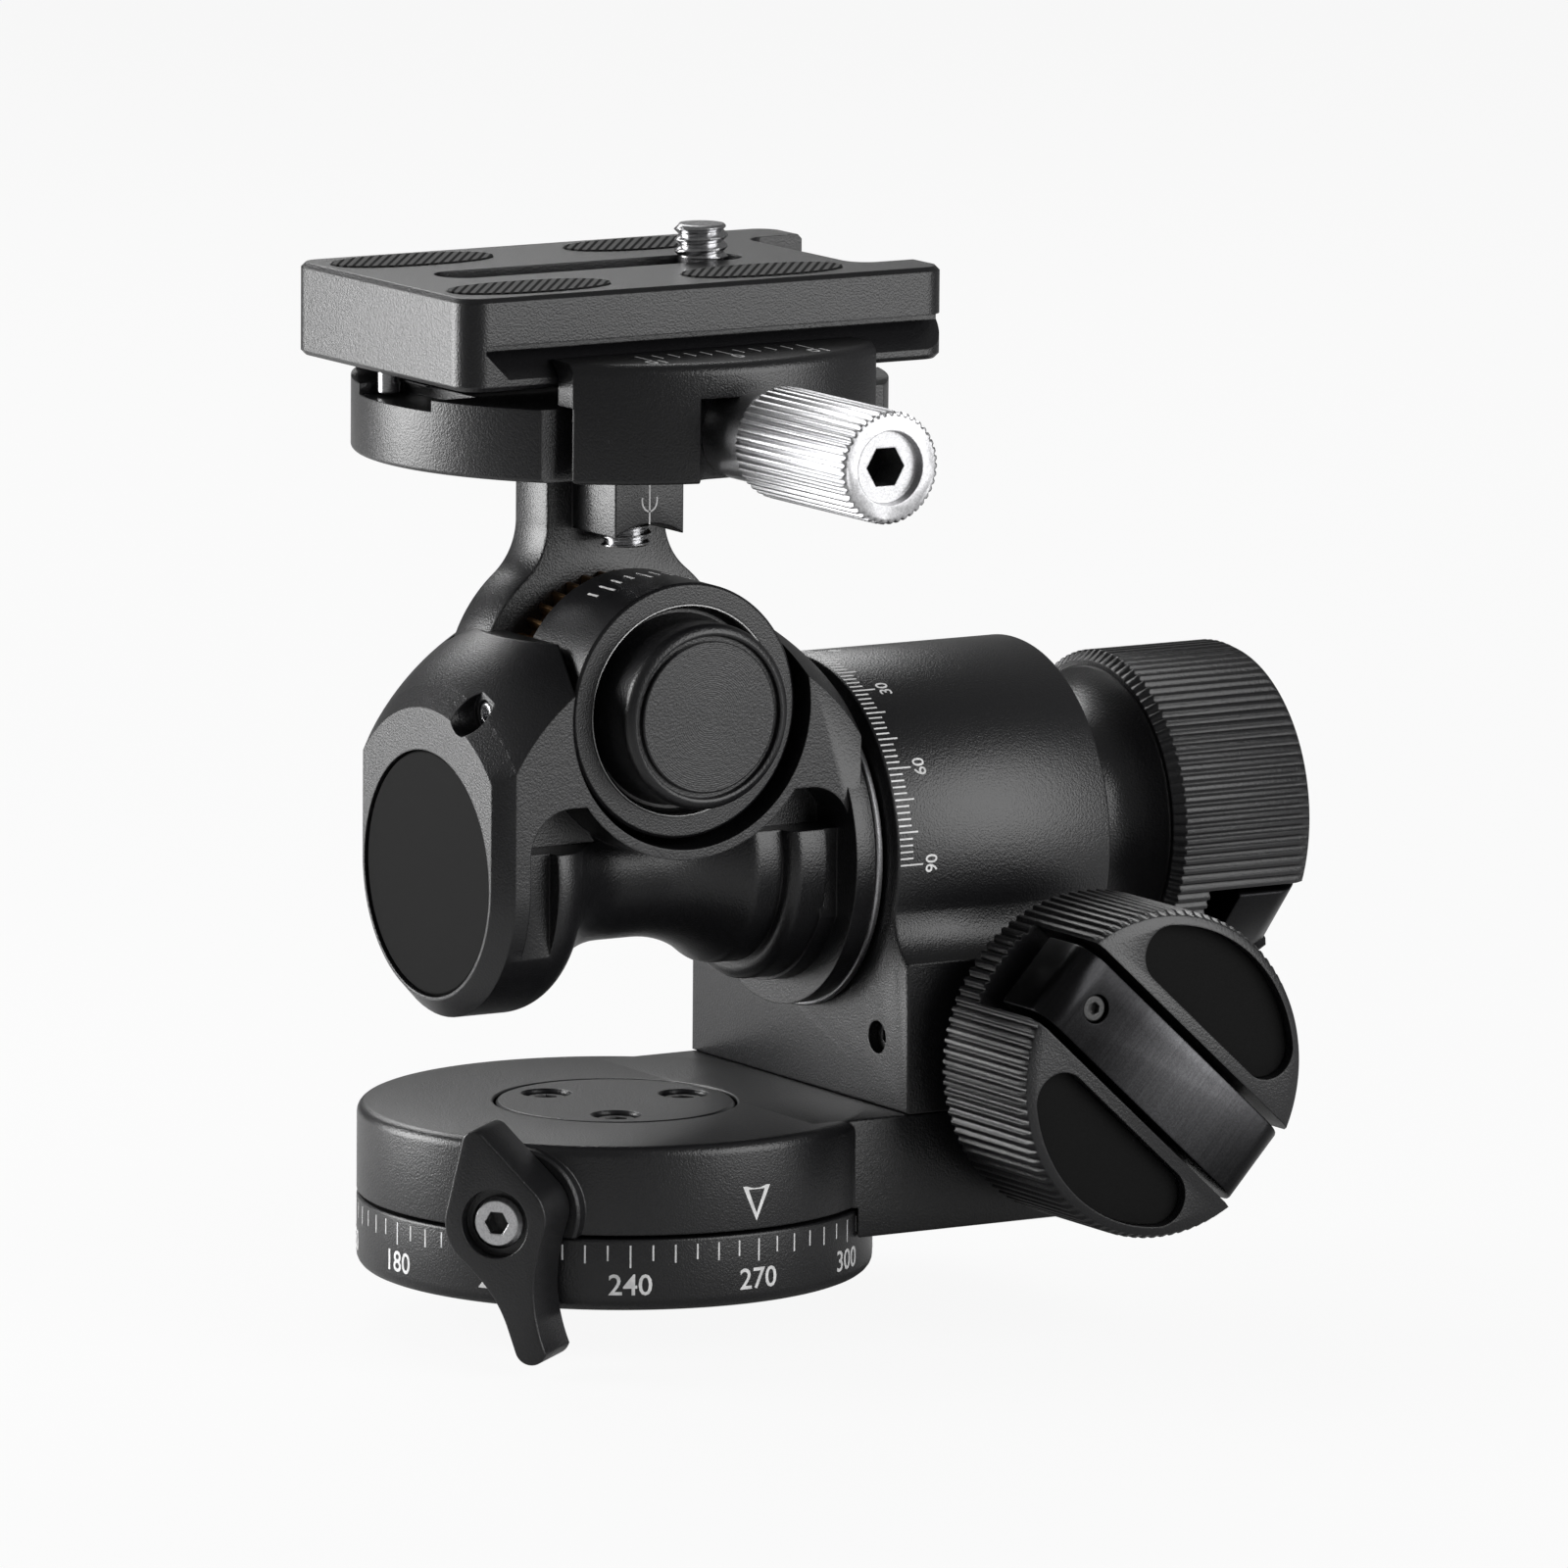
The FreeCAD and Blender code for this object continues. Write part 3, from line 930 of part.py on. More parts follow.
    grip = new_body("clamp_knob")
    hub_start, floor = s.pocket_floor, s.grip_front - 1.4
    turn(grip, "grip_profile", [
        (0, hub_start), (s.grip_hub, hub_start), (s.grip_hub, s.grip_back),
        (s.grip_radius - 0.5, s.grip_back), (s.grip_radius, s.grip_back + 0.5),
        (s.grip_radius, s.grip_front - 0.6), (s.grip_radius - 0.6, s.grip_front),
        (s.grip_recess, s.grip_front), (s.grip_recess - 0.4, floor), (0, floor)])
    pocket(grip, "socket", "XY", [hexagon(0, 0, 4.0, 0)], floor - 4.6, floor)
    place(grip, 0, 0, s.jaw_axis, TO_FRONT)
    NODES.append(rod("clamp_screw", s.clamp_thread, s.bolt_y + 6.4, hub_start, z=s.jaw_axis, turned=TO_FRONT))


def oval(x, y, half_length, half_width):
    """Rounded slot along X."""
    straight = size(half_length) - half_width
    x, y, half_width = size(x), size(y), size(half_width)
    return [(x - straight, y - half_width, half_width), (x + straight, y - half_width),
            (x + straight, y + half_width, half_width), (x - straight, y + half_width)]


def plate_parts():
    """Camera plate with its dovetail, slot, four pads, stop pin and screw."""
    body = new_body("camera_plate")
    lx, ly, r = s.plate_half_length, s.plate_half_width, s.plate_corner
    pad(body, "slab", "XY", [[
        (-lx + r, -ly, r), (lx - r, -ly), (lx, -ly + r, r), (lx, ly - r), (lx - r, ly, r), (-lx + r, ly),
        (-lx, ly - r, r), (-lx, -ly + r)]], s.plate_bottom, PLATE_TOP)
    blend(body, "top_edge", "Chamfer", s.plate_chamfer, lambda p, e: abs(p.z - float(PLATE_TOP)) < 0.01)
    edge = s.plate_bottom + s.flange_edge
    rise = ly - s.groove_root
    for side, sign in (("front", -1), ("rear", 1)):
        root = s.groove_root * sign
        pocket(body, side + "_groove", "YZ", [[
            (ly * sign, edge), (root, edge + rise), (root, GROOVE_TOP), (OUTSIDE * sign, GROOVE_TOP),
            (OUTSIDE * sign, edge)]], -s.groove_start, lx)
    fork, root, round_ = s.fork_half, s.fork_root, s.plate_corner
    pocket(body, "fork", "XY", [[
        (root + round_, -fork, round_), (OUTSIDE, -fork), (OUTSIDE, fork), (root + round_, fork),
        (root, fork - round_, round_), (root, -fork + round_)]], s.plate_bottom, PLATE_TOP)
    middle = (s.slot_right - s.slot_left) / 2
    half_long = (s.slot_right + s.slot_left) / 2 + s.slot_half
    pocket(body, "slot", "XY", [oval(middle, 0, half_long, s.slot_half)], s.plate_bottom, PLATE_TOP)
    pocket(body, "head_track", "XY", [oval(middle, 0, half_long + s.track_wider,
                                               s.slot_half + s.track_wider)],
           s.plate_bottom, TRACK_TOP)
    lenses = []
    for x in (-s.pad_left, s.pad_right):
        for y in (-s.pad_y, s.pad_y):
            lenses.append(oval(x, y, s.pad_half_length, s.pad_half_width))
    pocket(body, "pad_seats", "XY", lenses, PLATE_TOP - s.pad_depth, PLATE_TOP)
    pads = new_body("plate_pads")
    pad(pads, "pads", "XY", lenses, PLATE_TOP - s.pad_depth, PLATE_TOP + s.pad_proud)

    NODES.append(rod("stop_pin", s.stop_radius, s.channel_floor + s.move_gap, s.plate_bottom,
                     x=-s.stop_x, y=s.stop_y))
    screw = new_body("camera_screw")
    x, head_top, neck_top = s.camera_screw_x, TRACK_TOP - s.fit_gap, PLATE_TOP + s.pad_proud
    tip = PLATE_TOP + s.camera_reach
    head_low = TRACK_TOP - s.camera_head_deep
    pad(screw, "head", "XY", [(x, 0, s.camera_head)], head_low, head_top)
    pad(screw, "neck", "XY", [(x, 0, s.camera_neck)], head_top, neck_top)
    pad(screw, "thread", "XY", [(x, 0, s.camera_thread)], neck_top, tip)
    blend(screw, "tip_bevel", "Chamfer", 0.6, lambda p, e: abs(p.z - float(tip)) < 0.01)
    pocket(screw, "coin_slot", "XY", [[(x - 4.5, -0.8), (x + 4.5, -0.8), (x + 4.5, 0.8), (x - 4.5, 0.8)]],
           head_low, head_low + s.coin_slot_deep)


base_parts()
pan_body_part()
lock_parts()
bracket_parts()
yoke_parts()
tilt_parts()
rear = REAR_KNOB_START
shaft_start = -s.yoke_left + s.insert_depth + 0.3
place(worm_shaft("tilt_worm_shaft", s.tilt_module, s.tilt_centres - s.drive_teeth * s.tilt_module / 2,
                 shaft_start, rear, 180), 0, 0, s.barrel_axis, TO_X)
place(worm_shaft("roll_worm_shaft", s.roll_module, s.roll_centres - s.drive_teeth * s.roll_module / 2,
                 -s.worm_reach, LOWER_KNOB_BACK, 90), s.lower_knob_x, 0, ROLL_WORM_Z, TO_FRONT)
knob_parts("rear", rear, 0, s.barrel_axis, TO_X, s.rear_neck, s.rear_bar_turn)
knob_parts("lower", s.lower_knob_x, -LOWER_KNOB_BACK, ROLL_WORM_Z, TO_FRONT, s.lower_neck, s.bar_turn)
clamp_parts()
plate_parts()
DOC.recompute()

# --------------------------------------------------------------------------- checks and export
broken = [o.Label for o in DOC.Objects if "Invalid" in o.State or "Error" in o.State]
if broken:
    raise RuntimeError("failed objects: " + ", ".join(broken))
os.makedirs("parts", exist_ok=True)
for node in NODES:
    if node.Shape.isNull() or not node.Shape.isValid():
        raise RuntimeError("bad shape in " + node.Label)
for node in NODES:
    node.Shape.exportStep("parts/" + node.Label + ".step")
    box = node.Shape.BoundBox
    print("%-18s %9.1f mm3  solids %d  x %6.1f %6.1f  y %6.1f %6.1f  z %6.1f %6.1f" % (
        node.Label, node.Shape.Volume, len(node.Shape.Solids), box.XMin, box.XMax, box.YMin, box.YMax,
        box.ZMin, box.ZMax))
print(len(NODES), "nodes")
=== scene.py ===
import json
import math
import bmesh
import bpy
from mathutils import Matrix, Vector


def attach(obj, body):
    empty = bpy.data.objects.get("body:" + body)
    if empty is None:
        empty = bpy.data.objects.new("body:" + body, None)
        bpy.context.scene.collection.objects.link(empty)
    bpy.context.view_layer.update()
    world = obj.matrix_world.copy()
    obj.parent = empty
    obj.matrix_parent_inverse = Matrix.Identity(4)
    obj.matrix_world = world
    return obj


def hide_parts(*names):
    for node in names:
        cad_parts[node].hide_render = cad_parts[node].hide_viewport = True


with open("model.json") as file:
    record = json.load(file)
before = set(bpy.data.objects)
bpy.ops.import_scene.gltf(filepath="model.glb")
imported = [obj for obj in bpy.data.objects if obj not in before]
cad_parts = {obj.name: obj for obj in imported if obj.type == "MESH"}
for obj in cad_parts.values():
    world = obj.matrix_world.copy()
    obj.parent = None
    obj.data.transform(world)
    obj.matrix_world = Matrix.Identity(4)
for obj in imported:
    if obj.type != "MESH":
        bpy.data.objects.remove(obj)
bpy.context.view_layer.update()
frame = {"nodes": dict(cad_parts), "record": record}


# ---- Dial ring: radius 30 mm, 8.5 mm high, satin black, rounded lower edge, with its degree marks.
# White ticks every 5 degrees end 7.8 mm up; numbers every 30 degrees stand below them.
# Rides on base and stands for the dial_ring node.
BASE = 30.0
DIAL_TOP = 8.5
TICK_TOP = 7.8
FRONT = -90
DIAL_TURN = 2.78
THIN_TICK = 0.10
SUNK, RAISED = 0.1, 0.03


def coated(name, tone, rough=0.42, grain=0.25, size=5200.0, edge=0.00025, metal=0.0, spec=0.5):
    """Finely blasted, anodised or painted surface with softened edges."""
    m = bpy.data.materials.new(name)
    m.use_nodes = True
    n, link = m.node_tree.nodes, m.node_tree.links
    out = n["Principled BSDF"]
    place = n.new("ShaderNodeTexCoord")
    fine = n.new("ShaderNodeTexNoise")
    fine.inputs["Scale"].default_value = size
    fine.inputs["Detail"].default_value = 2.0
    link.new(place.outputs["Object"], fine.inputs["Vector"])
    ramp = n.new("ShaderNodeValToRGB")
    ramp.color_ramp.elements[0].position = 0.3
    ramp.color_ramp.elements[1].position = 0.7
    low, high = [tuple(c * k for c in tone) + (1.0,) for k in (0.8, 1.2)]
    ramp.color_ramp.elements[0].color = low
    ramp.color_ramp.elements[1].color = high
    link.new(fine.outputs["Fac"], ramp.inputs["Fac"])
    link.new(ramp.outputs["Color"], out.inputs["Base Color"])
    soft = n.new("ShaderNodeBevel")
    soft.samples = 4
    soft.inputs["Radius"].default_value = edge
    bump = n.new("ShaderNodeBump")
    bump.inputs["Strength"].default_value = grain
    bump.inputs["Distance"].default_value = 0.0001
    link.new(fine.outputs["Fac"], bump.inputs["Height"])
    link.new(soft.outputs["Normal"], bump.inputs["Normal"])
    link.new(bump.outputs["Normal"], out.inputs["Normal"])
    out.inputs["Roughness"].default_value = rough
    out.inputs["Metallic"].default_value = metal
    out.inputs["Specular IOR Level"].default_value = spec
    return m


BLACK = coated("satin_black", (0.009, 0.009, 0.01), 0.3, 0.5, 4200.0, spec=0.62)
WHITE = coated("white_marking", (0.86, 0.86, 0.86), 0.5, 0.05, 900.0, edge=0.00002)


def along(outline, step=2.5):
    """Points of an outline of corners (x, y) or (x, y, radius of the arc that leads there)."""
    points = []
    for i, corner in enumerate(outline):
        last = outline[i - 1]
        if len(corner) == 3:
            a, b, r = Vector(last[:2]), Vector(corner[:2]), corner[2]
            chord = b - a
            rise = math.sqrt(max(r * r - chord.length_squared / 4, 0))
            left = Vector((-chord.y, chord.x)).normalized()
            centre = (a + b) / 2 + left * math.copysign(rise, r)
            first = math.atan2(a.y - centre.y, a.x - centre.x)
            sweep = 2 * math.asin(min(1, chord.length / 2 / abs(r))) * math.copysign(1, r)
            count = max(2, round(abs(math.degrees(sweep)) / step))
            for k in range(1, count):
                angle = first + sweep * k / count
                points.append((centre.x + abs(r) * math.cos(angle), centre.y + abs(r) * math.sin(angle)))
        points.append(tuple(corner[:2]))
    return points


def circle(x, y, r, count=160):
    """Corners of a full circle."""
    return [(x + r * math.cos(2 * math.pi * i / count), y + r * math.sin(2 * math.pi * i / count))
            for i in range(count)]


def prism(outline, lo, hi, plane="XY", soft=0.0, segments=2, sharp=30):
    """Solid between two distances: XY upwards, XZ towards the front, YZ towards +X, in mm."""
    spots = {"XY": lambda x, y, d: (x, y, d), "XZ": lambda x, y, d: (x, -d, y),
             "YZ": lambda x, y, d: (d, x, y)}[plane]
    bm = bmesh.new()
    points = along(outline)
    rings = [[bm.verts.new(spots(x, y, d)) for x, y in points] for d in (lo, hi)]
    for ring in rings:
        bm.faces.new(ring)
    for i in range(len(points)):
        bm.faces.new((rings[0][i - 1], rings[0][i], rings[1][i], rings[1][i - 1]))
    bmesh.ops.recalc_face_normals(bm, faces=bm.faces)
    if soft:
        soften(bm, soft, segments, sharp)
    return bm


def soften(bm, width, segments=2, sharp=30, where=None):
    """Rounds the edges that bend by more than sharp degrees."""
    edges = [e for e in bm.edges if len(e.link_faces) == 2
             and e.calc_face_angle(0) > math.radians(sharp) and (where is None or where(e))]
    bmesh.ops.bevel(bm, geom=edges, offset=width, segments=segments, profile=0.5, affect="EDGES",
                    material=-1, clamp_overlap=True)


TO_X = Matrix.Rotation(math.radians(90), 4, "Y")
TO_FRONT = Matrix.Rotation(math.radians(90), 4, "X")


def at(x=0, y=0, z=0, turned=None, spin=0):
    """Matrix that spins about the own axis, turns and then moves, in mm."""
    return (Matrix.Translation((x, y, z)) @ (turned or Matrix.Identity(4))
            @ Matrix.Rotation(math.radians(spin), 4, "Z"))


def lathe(profile, where=None, steps=180, bend=15):
    """Closed turned solid from an outline of (radius, height)."""
    bm = bmesh.new()
    points = [bm.verts.new((max(r, 0.0), 0, h)) for r, h in along(profile, bend)]
    edges = [bm.edges.new((points[i - 1], points[i])) for i in range(len(points))
             if not (points[i].co.x < 1e-6 and points[i - 1].co.x < 1e-6)]
    bmesh.ops.spin(bm, geom=points + edges, cent=(0, 0, 0), axis=(0, 0, 1), angle=2 * math.pi,
                   steps=steps, use_merge=True, use_normal_flip=False, use_duplicate=False)
    bmesh.ops.remove_doubles(bm, verts=bm.verts, dist=1e-5)
    bmesh.ops.recalc_face_normals(bm, faces=bm.faces)
    if where:
        bm.transform(where)
    return bm


def rod(r, low, high, where=None, steps=180):
    """Plain cylinder about its own Z."""
    return lathe([(0, low), (r, low), (r, high), (0, high)], where, steps)


def merged(*parts):
    """Several solids in one mesh, not joined."""
    bm = bmesh.new()
    for part in parts:
        mesh = bpy.data.meshes.new("part")
        part.to_mesh(mesh)
        part.free()
        bm.from_mesh(mesh)
        bpy.data.meshes.remove(mesh)
    return bm


def carve(bm, *steps):
    """Joins ("+", solid), cuts ("-", solid) or keeps what both share ("&", solid), one by one."""
    def thing(solid, name):
        mesh = bpy.data.meshes.new(name)
        solid.to_mesh(mesh)
        solid.free()
        obj = bpy.data.objects.new(name, mesh)
        bpy.context.collection.objects.link(obj)
        return obj
    base = thing(bm, "carve_base")
    for sign, solid in steps:
        tool = thing(solid, "carve_tool")
        change = base.modifiers.new("carve", "BOOLEAN")
        change.operation = {"+": "UNION", "-": "DIFFERENCE", "&": "INTERSECT"}[sign]
        change.solver = "EXACT"
        change.object = tool
        bpy.context.view_layer.update()
        shaped = bpy.data.meshes.new_from_object(base.evaluated_get(bpy.context.evaluated_depsgraph_get()))
        base.modifiers.clear()
        base.data = shaped
        bpy.data.objects.remove(tool)
    done = bmesh.new()
    done.from_mesh(base.data)
    bpy.data.objects.remove(base)
    return done


def piece(name, bm, material, body, stands_for=(), smooth=30):
    """Makes the object in metres, its curved faces smooth, and lets it ride on its body."""
    bmesh.ops.remove_doubles(bm, verts=bm.verts, dist=1e-5)
    bmesh.ops.scale(bm, vec=(0.001, 0.001, 0.001), verts=bm.verts)
    mesh = bpy.data.meshes.new(name)
    bm.to_mesh(mesh)
    bm.free()
    mesh.polygons.foreach_set("use_smooth", [True] * len(mesh.polygons))
    mesh.set_sharp_from_angle(angle=math.radians(smooth))
    obj = bpy.data.objects.new(name, mesh)
    bpy.context.collection.objects.link(obj)
    mesh.materials.append(material)
    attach(obj, body)
    if stands_for:
        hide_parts(*stands_for)
    return obj


def slab(corners, low, high):
    """Thin closed mark: corners are a function of height that gives its points."""
    bm = bmesh.new()
    rings = [[bm.verts.new(p) for p in corners(h)] for h in (low, high)]
    for ring in rings:
        bm.faces.new(ring)
    for i in range(len(rings[0])):
        bm.faces.new((rings[0][i - 1], rings[0][i], rings[1][i], rings[1][i - 1]))
    bmesh.ops.recalc_face_normals(bm, faces=bm.faces)
    return bm


def upright(angle, height, radius):
    """Point on a cylinder about Z at an angle in degrees."""
    a = math.radians(angle)
    return Vector((radius * math.cos(a), radius * math.sin(a), height))


def digits(text, tall, spot):
    """Number as a thin solid, put on a surface by spot(across, up, height)."""
    curve = bpy.data.curves.new("digits", "FONT")
    curve.body = text
    curve.align_x = "CENTER"
    curve.size = tall * 1.38
    curve.offset = 0.012 * tall
    curve.extrude = 0.06
    curve.resolution_u = 3
    obj = bpy.data.objects.new("digits", curve)
    bpy.context.collection.objects.link(obj)
    bpy.context.view_layer.update()
    mesh = bpy.data.meshes.new_from_object(obj.evaluated_get(bpy.context.evaluated_depsgraph_get()))
    bpy.data.objects.remove(obj)
    bm = bmesh.new()
    bm.from_mesh(mesh)
    bmesh.ops.remove_doubles(bm, verts=bm.verts, dist=1e-4)
    for v in bm.verts:
        v.co = spot(*v.co)
    bmesh.ops.recalc_face_normals(bm, faces=bm.faces)
    return bm


ring = lathe([(24, 0), (BASE - 1.6, 0), (BASE, 1.6, 1.6), (BASE, DIAL_TOP - 0.3), (BASE - 0.3, DIAL_TOP, 0.3),
              (24, DIAL_TOP)], steps=256)
piece("dial_ring_shell", ring, BLACK, "base", ["dial_ring"])

dial_zero = FRONT - 270 + DIAL_TURN
half = math.degrees(THIN_TICK / BASE)
marks = []
for number in range(0, 360, 5):
    middle = dial_zero + number
    low = 5.2 if number % 30 == 0 else (5.7 if number % 10 == 0 else 6.0)
    marks.append(slab(lambda h, m=middle, l=low: [upright(m - half, l, h), upright(m + half, l, h),
                                                  upright(m + half, TICK_TOP, h),
                                                  upright(m - half, TICK_TOP, h)],
                      BASE - SUNK, BASE + RAISED))
for number in range(0, 360, 30):
    middle = dial_zero + number
    marks.append(digits(str(number), 2.5, lambda x, y, z, m=middle: upright(
        m + math.degrees(x / BASE), 2.05 + y, BASE - RAISED + z)))
piece("dial_marks", merged(*marks), WHITE, "base")


# ---- Pan stage: disc of radius 30 mm over the dial with the arm to +X, both 19.2 mm high at the top.
# Satin black; a white outline triangle points down at the dial; the boss of the lock stands out.
# Rides on pan and stands for the pan_body node.
STAGE_FOOT, STAGE_TOP = 8.9, 19.2
SPINDLE = 14.2
ARM_HALF = 24.2
ARM_END = 54.0
ARM_CORNER = 5.0
LOCK_TURN = 51.0
LOCK_HEIGHT = 11.6
LOCK_BOSS = 7.2
LOCK_FACE = 31.2
lock_angle = FRONT - LOCK_TURN
lock_out = upright(lock_angle, 0, 1)
disc = lathe([(SPINDLE, STAGE_FOOT), (BASE - 0.2, STAGE_FOOT), (BASE, STAGE_FOOT + 0.2, 0.2),
              (BASE, STAGE_TOP - 1.3), (BASE - 1.3, STAGE_TOP, 1.3), (SPINDLE + 0.15, STAGE_TOP),
              (SPINDLE, STAGE_TOP - 0.15)], steps=256)
arm = prism([(12, -ARM_HALF), (ARM_END - ARM_CORNER, -ARM_HALF), (ARM_END, ARM_CORNER - ARM_HALF, ARM_CORNER),
             (ARM_END, ARM_HALF - ARM_CORNER), (ARM_END - ARM_CORNER, ARM_HALF, ARM_CORNER), (12, ARM_HALF)],
            5.2, STAGE_TOP - 0.03, soft=0.5)
arm = carve(arm, ("-", rod(BASE + 0.35, 0, 8.85, steps=200)), ("-", rod(SPINDLE, 8, 25, steps=160)))
outwards = Matrix.Rotation(math.radians(lock_angle), 4, "Z") @ TO_X
boss = lathe([(0, 20), (LOCK_BOSS, 20), (LOCK_BOSS, LOCK_FACE - 0.3), (LOCK_BOSS - 0.3, LOCK_FACE),
              (0, LOCK_FACE)], at(0, 0, LOCK_HEIGHT, outwards), steps=96)
boss = carve(boss, ("-", rod(36, 0, STAGE_FOOT, steps=200)))
piece("pan_stage", merged(disc, arm, boss), BLACK, "pan", ["pan_body"])

pointer = []
corners = [(-0.75, 14.0), (2.95, 14.0), (1.1, 9.9)]
inner = [(0, 13.6), (2.2, 13.6), (1.1, 10.8)]
for i in range(3):
    j = (i + 1) % 3
    quad = [corners[i], corners[j], inner[j], inner[i]]
    pointer.append(slab(lambda h, q=quad: [upright(FRONT + math.degrees(x / BASE), z, h) for x, z in q],
                        BASE - SUNK, BASE + RAISED))
piece("pan_pointer", merged(*pointer), WHITE, "pan")


# ---- Spindle cap: flush disc of radius 13.9 mm in the pan stage, with three hexagon-socket screws.
# The screws sit on a circle of radius 9.2 mm in shallow seats; black disc, dark steel screws.
# Rides on base and stands for spindle_cap and cap_screws.
DARK = coated("dark_steel", (0.09, 0.09, 0.09), 0.3, 0.1, 4200.0, metal=0.9)
SCREW_CIRCLE = 9.2
SPINDLE_CAP = 13.9
spots = [(SCREW_CIRCLE * math.cos(math.radians(a)), SCREW_CIRCLE * math.sin(math.radians(a)))
         for a in (0, 120, 240)]
cap = lathe([(0, 17), (SPINDLE_CAP, 17), (SPINDLE_CAP, STAGE_TOP - 0.3), (SPINDLE_CAP - 0.3, STAGE_TOP),
             (0, STAGE_TOP)], steps=200)
for x, y in spots:
    cap = carve(cap, ("-", lathe([(0, 17.6), (2.75, 17.6), (2.75, STAGE_TOP - 0.3), (2.95, STAGE_TOP),
                                  (2.95, 22), (0, 22)], at(x, y), 64)))
piece("spindle_cap_disc", cap, BLACK, "base", ["spindle_cap"])


def hexagon(across):
    """Corners of a hexagon by its width across flats."""
    r = across / math.sqrt(3)
    return [(r * math.cos(math.radians(60 * i)), r * math.sin(math.radians(60 * i))) for i in range(6)]


def socket_screw(r, low, top, across, deep, where, edge=0.3):
    """Screw head about its own Z with a hexagon socket."""
    head = lathe([(0, low), (r, low), (r, top - edge), (r - edge, top), (0, top)], steps=64)
    head = carve(head, ("-", prism(hexagon(across), top - deep, top + 1)))
    head.transform(where)
    return head


heads = [socket_screw(2.5, 17.5, 18.7, 2.5, 1.0, at(x, y)) for x, y in spots]
piece("cap_screw_heads", merged(*heads), DARK, "base", ["cap_screws"])


# ---- Pan lock: a kite-shaped lever with a tail, 8 mm thick, on a radial axis 11.6 mm up.
# Satin black with softened edges and a bright round screw in a recess of radius 4 mm.
# Rides on lock and stands for lock_lever and lock_screw.
LEVER_THICK = 8.0
LEVER_BACK = 31.55
LEVER_RECESS = 4.0
outline = [(-4.05, 9.4, 1.45), (-6.0, 0.9), (-3.7, -4.7, 5.5), (-2.6, -5.8), (1.5, -11.8, -15.0),
           (2.6, -14.9), (6.3, -14.7, 1.95), (4.75, -7.5, -20.0), (6.05, -0.3, -24.0), (4.8, 3.9, 4.4),
           (-1.6, 10.1)]
lever = prism(outline, 0, LEVER_THICK, soft=0.35, segments=3, sharp=60)
lever = carve(lever, ("-", rod(LEVER_RECESS, 6.2, 10, steps=72)))
side_way = Vector((math.cos(math.radians(LOCK_TURN)), -math.sin(math.radians(LOCK_TURN)), 0))
turn = Matrix((side_way, Vector((0, 0, 1)), lock_out)).transposed().to_4x4()
lock_place = Matrix.Translation(lock_out * LEVER_BACK + Vector((0, 0, LOCK_HEIGHT))) @ turn
lever.transform(lock_place)
piece("lock_lever_body", lever, BLACK, "lock", ["lock_lever"])
STEEL = coated("bright_steel", (0.55, 0.55, 0.56), 0.22, 0.05, 5200.0, metal=1.0)
screw = socket_screw(3.05, 5.5, 7.4, 2.5, 1.3, lock_place, 0.5)
piece("lock_screw_head", screw, STEEL, "lock", ["lock_screw"])


# ---- Bracket: block 48.4 mm wide with the barrel of radius 21.85 mm on top, axis 48 mm up.
# Coves lead from the block's ledge to the barrel; satin black; roll scale on the barrel's left rim.
# Rides on pan and stands for bracket.
AXIS = 48.0
BARREL = 21.85
BARREL_START = 24.8
LEDGE = 36.7
COVE_TOP = 42.4
cove = math.sqrt(BARREL ** 2 - (AXIS - COVE_TOP) ** 2)
block = prism([(-ARM_HALF, STAGE_TOP), (ARM_HALF, STAGE_TOP), (ARM_HALF, LEDGE), (cove, COVE_TOP, -7),
               (0, AXIS + BARREL, BARREL), (-cove, COVE_TOP, BARREL), (-ARM_HALF, LEDGE, -7)],
              BARREL_START, ARM_END, "YZ")
soften(block, 0.4, 2, 60, lambda e: abs(e.verts[0].co.x - e.verts[1].co.x) < 0.01)
block = carve(block,
              ("-", rod(12, 0, 40, at(20, 0, AXIS, TO_X))),
              ("-", rod(1.9, 0, 6, at(24, -17.6, 27.3, TO_X), 48)),
              ("-", rod(18.3, 0, 20, at(50.6, 0, AXIS, TO_X))))
piece("bracket_block", block, BLACK, "pan", ["bracket"])


def round_barrel(across, angle, radius):
    """Point on the barrel: distance along X and angle from straight up towards the front."""
    a = math.radians(angle)
    return Vector((across, -radius * math.sin(a), AXIS + radius * math.cos(a)))


near = BARREL_START + 0.35
half = math.degrees(THIN_TICK / BARREL)
marks = []
for angle in range(-90, 91, 2):
    far = 28.2 if angle % 30 == 0 else (27.7 if angle % 10 == 0 else 26.9)
    marks.append(slab(lambda h, a=angle, f=far: [round_barrel(near, a - half, h),
                                                 round_barrel(f, a - half, h),
                                                 round_barrel(f, a + half, h),
                                                 round_barrel(near, a + half, h)],
                      BARREL - SUNK, BARREL + RAISED))
for number in range(-90, 91, 30):
    marks.append(digits(str(abs(number)), 1.6, lambda x, y, z, n=number: round_barrel(
        30.1 - y, n - math.degrees(x / BARREL), BARREL - RAISED + z)))
piece("roll_scale", merged(*marks), WHITE, "pan")


# ---- Yoke: ball of radius 31.9 mm, cut to 33.6 mm deep and flat on top, with a cradle of radius
# 17.1 mm for the tilt drum, a spool of radius 9.5 mm between two legs and a round flange. Satin black, with
# pockets beside the window and a bevelled closed end with a black disc let in; a bright ring at the flange.
# Rides on yoke and stands for yoke_frame, adjusting_screw, end_disc and thrust_ring.
TILT = 67.1
BALL = 31.9
LEG = 16.8
CLOSED_END, CLOSED_INNER = -23.4, -17.2
END_BEVEL = 2.1
CRADLE = 17.1
POCKET_HALF, POCKET_TOP, POCKET_CORNER = 21.4, 57.2, 5.4
POCKET_BACK = 14.6
WORM_TUBE, WORM_BORE = 9.5, 6.75
FLANGE = 19.0
ADJUSTER_Y, ADJUSTER_Z = -7.6, 67.4
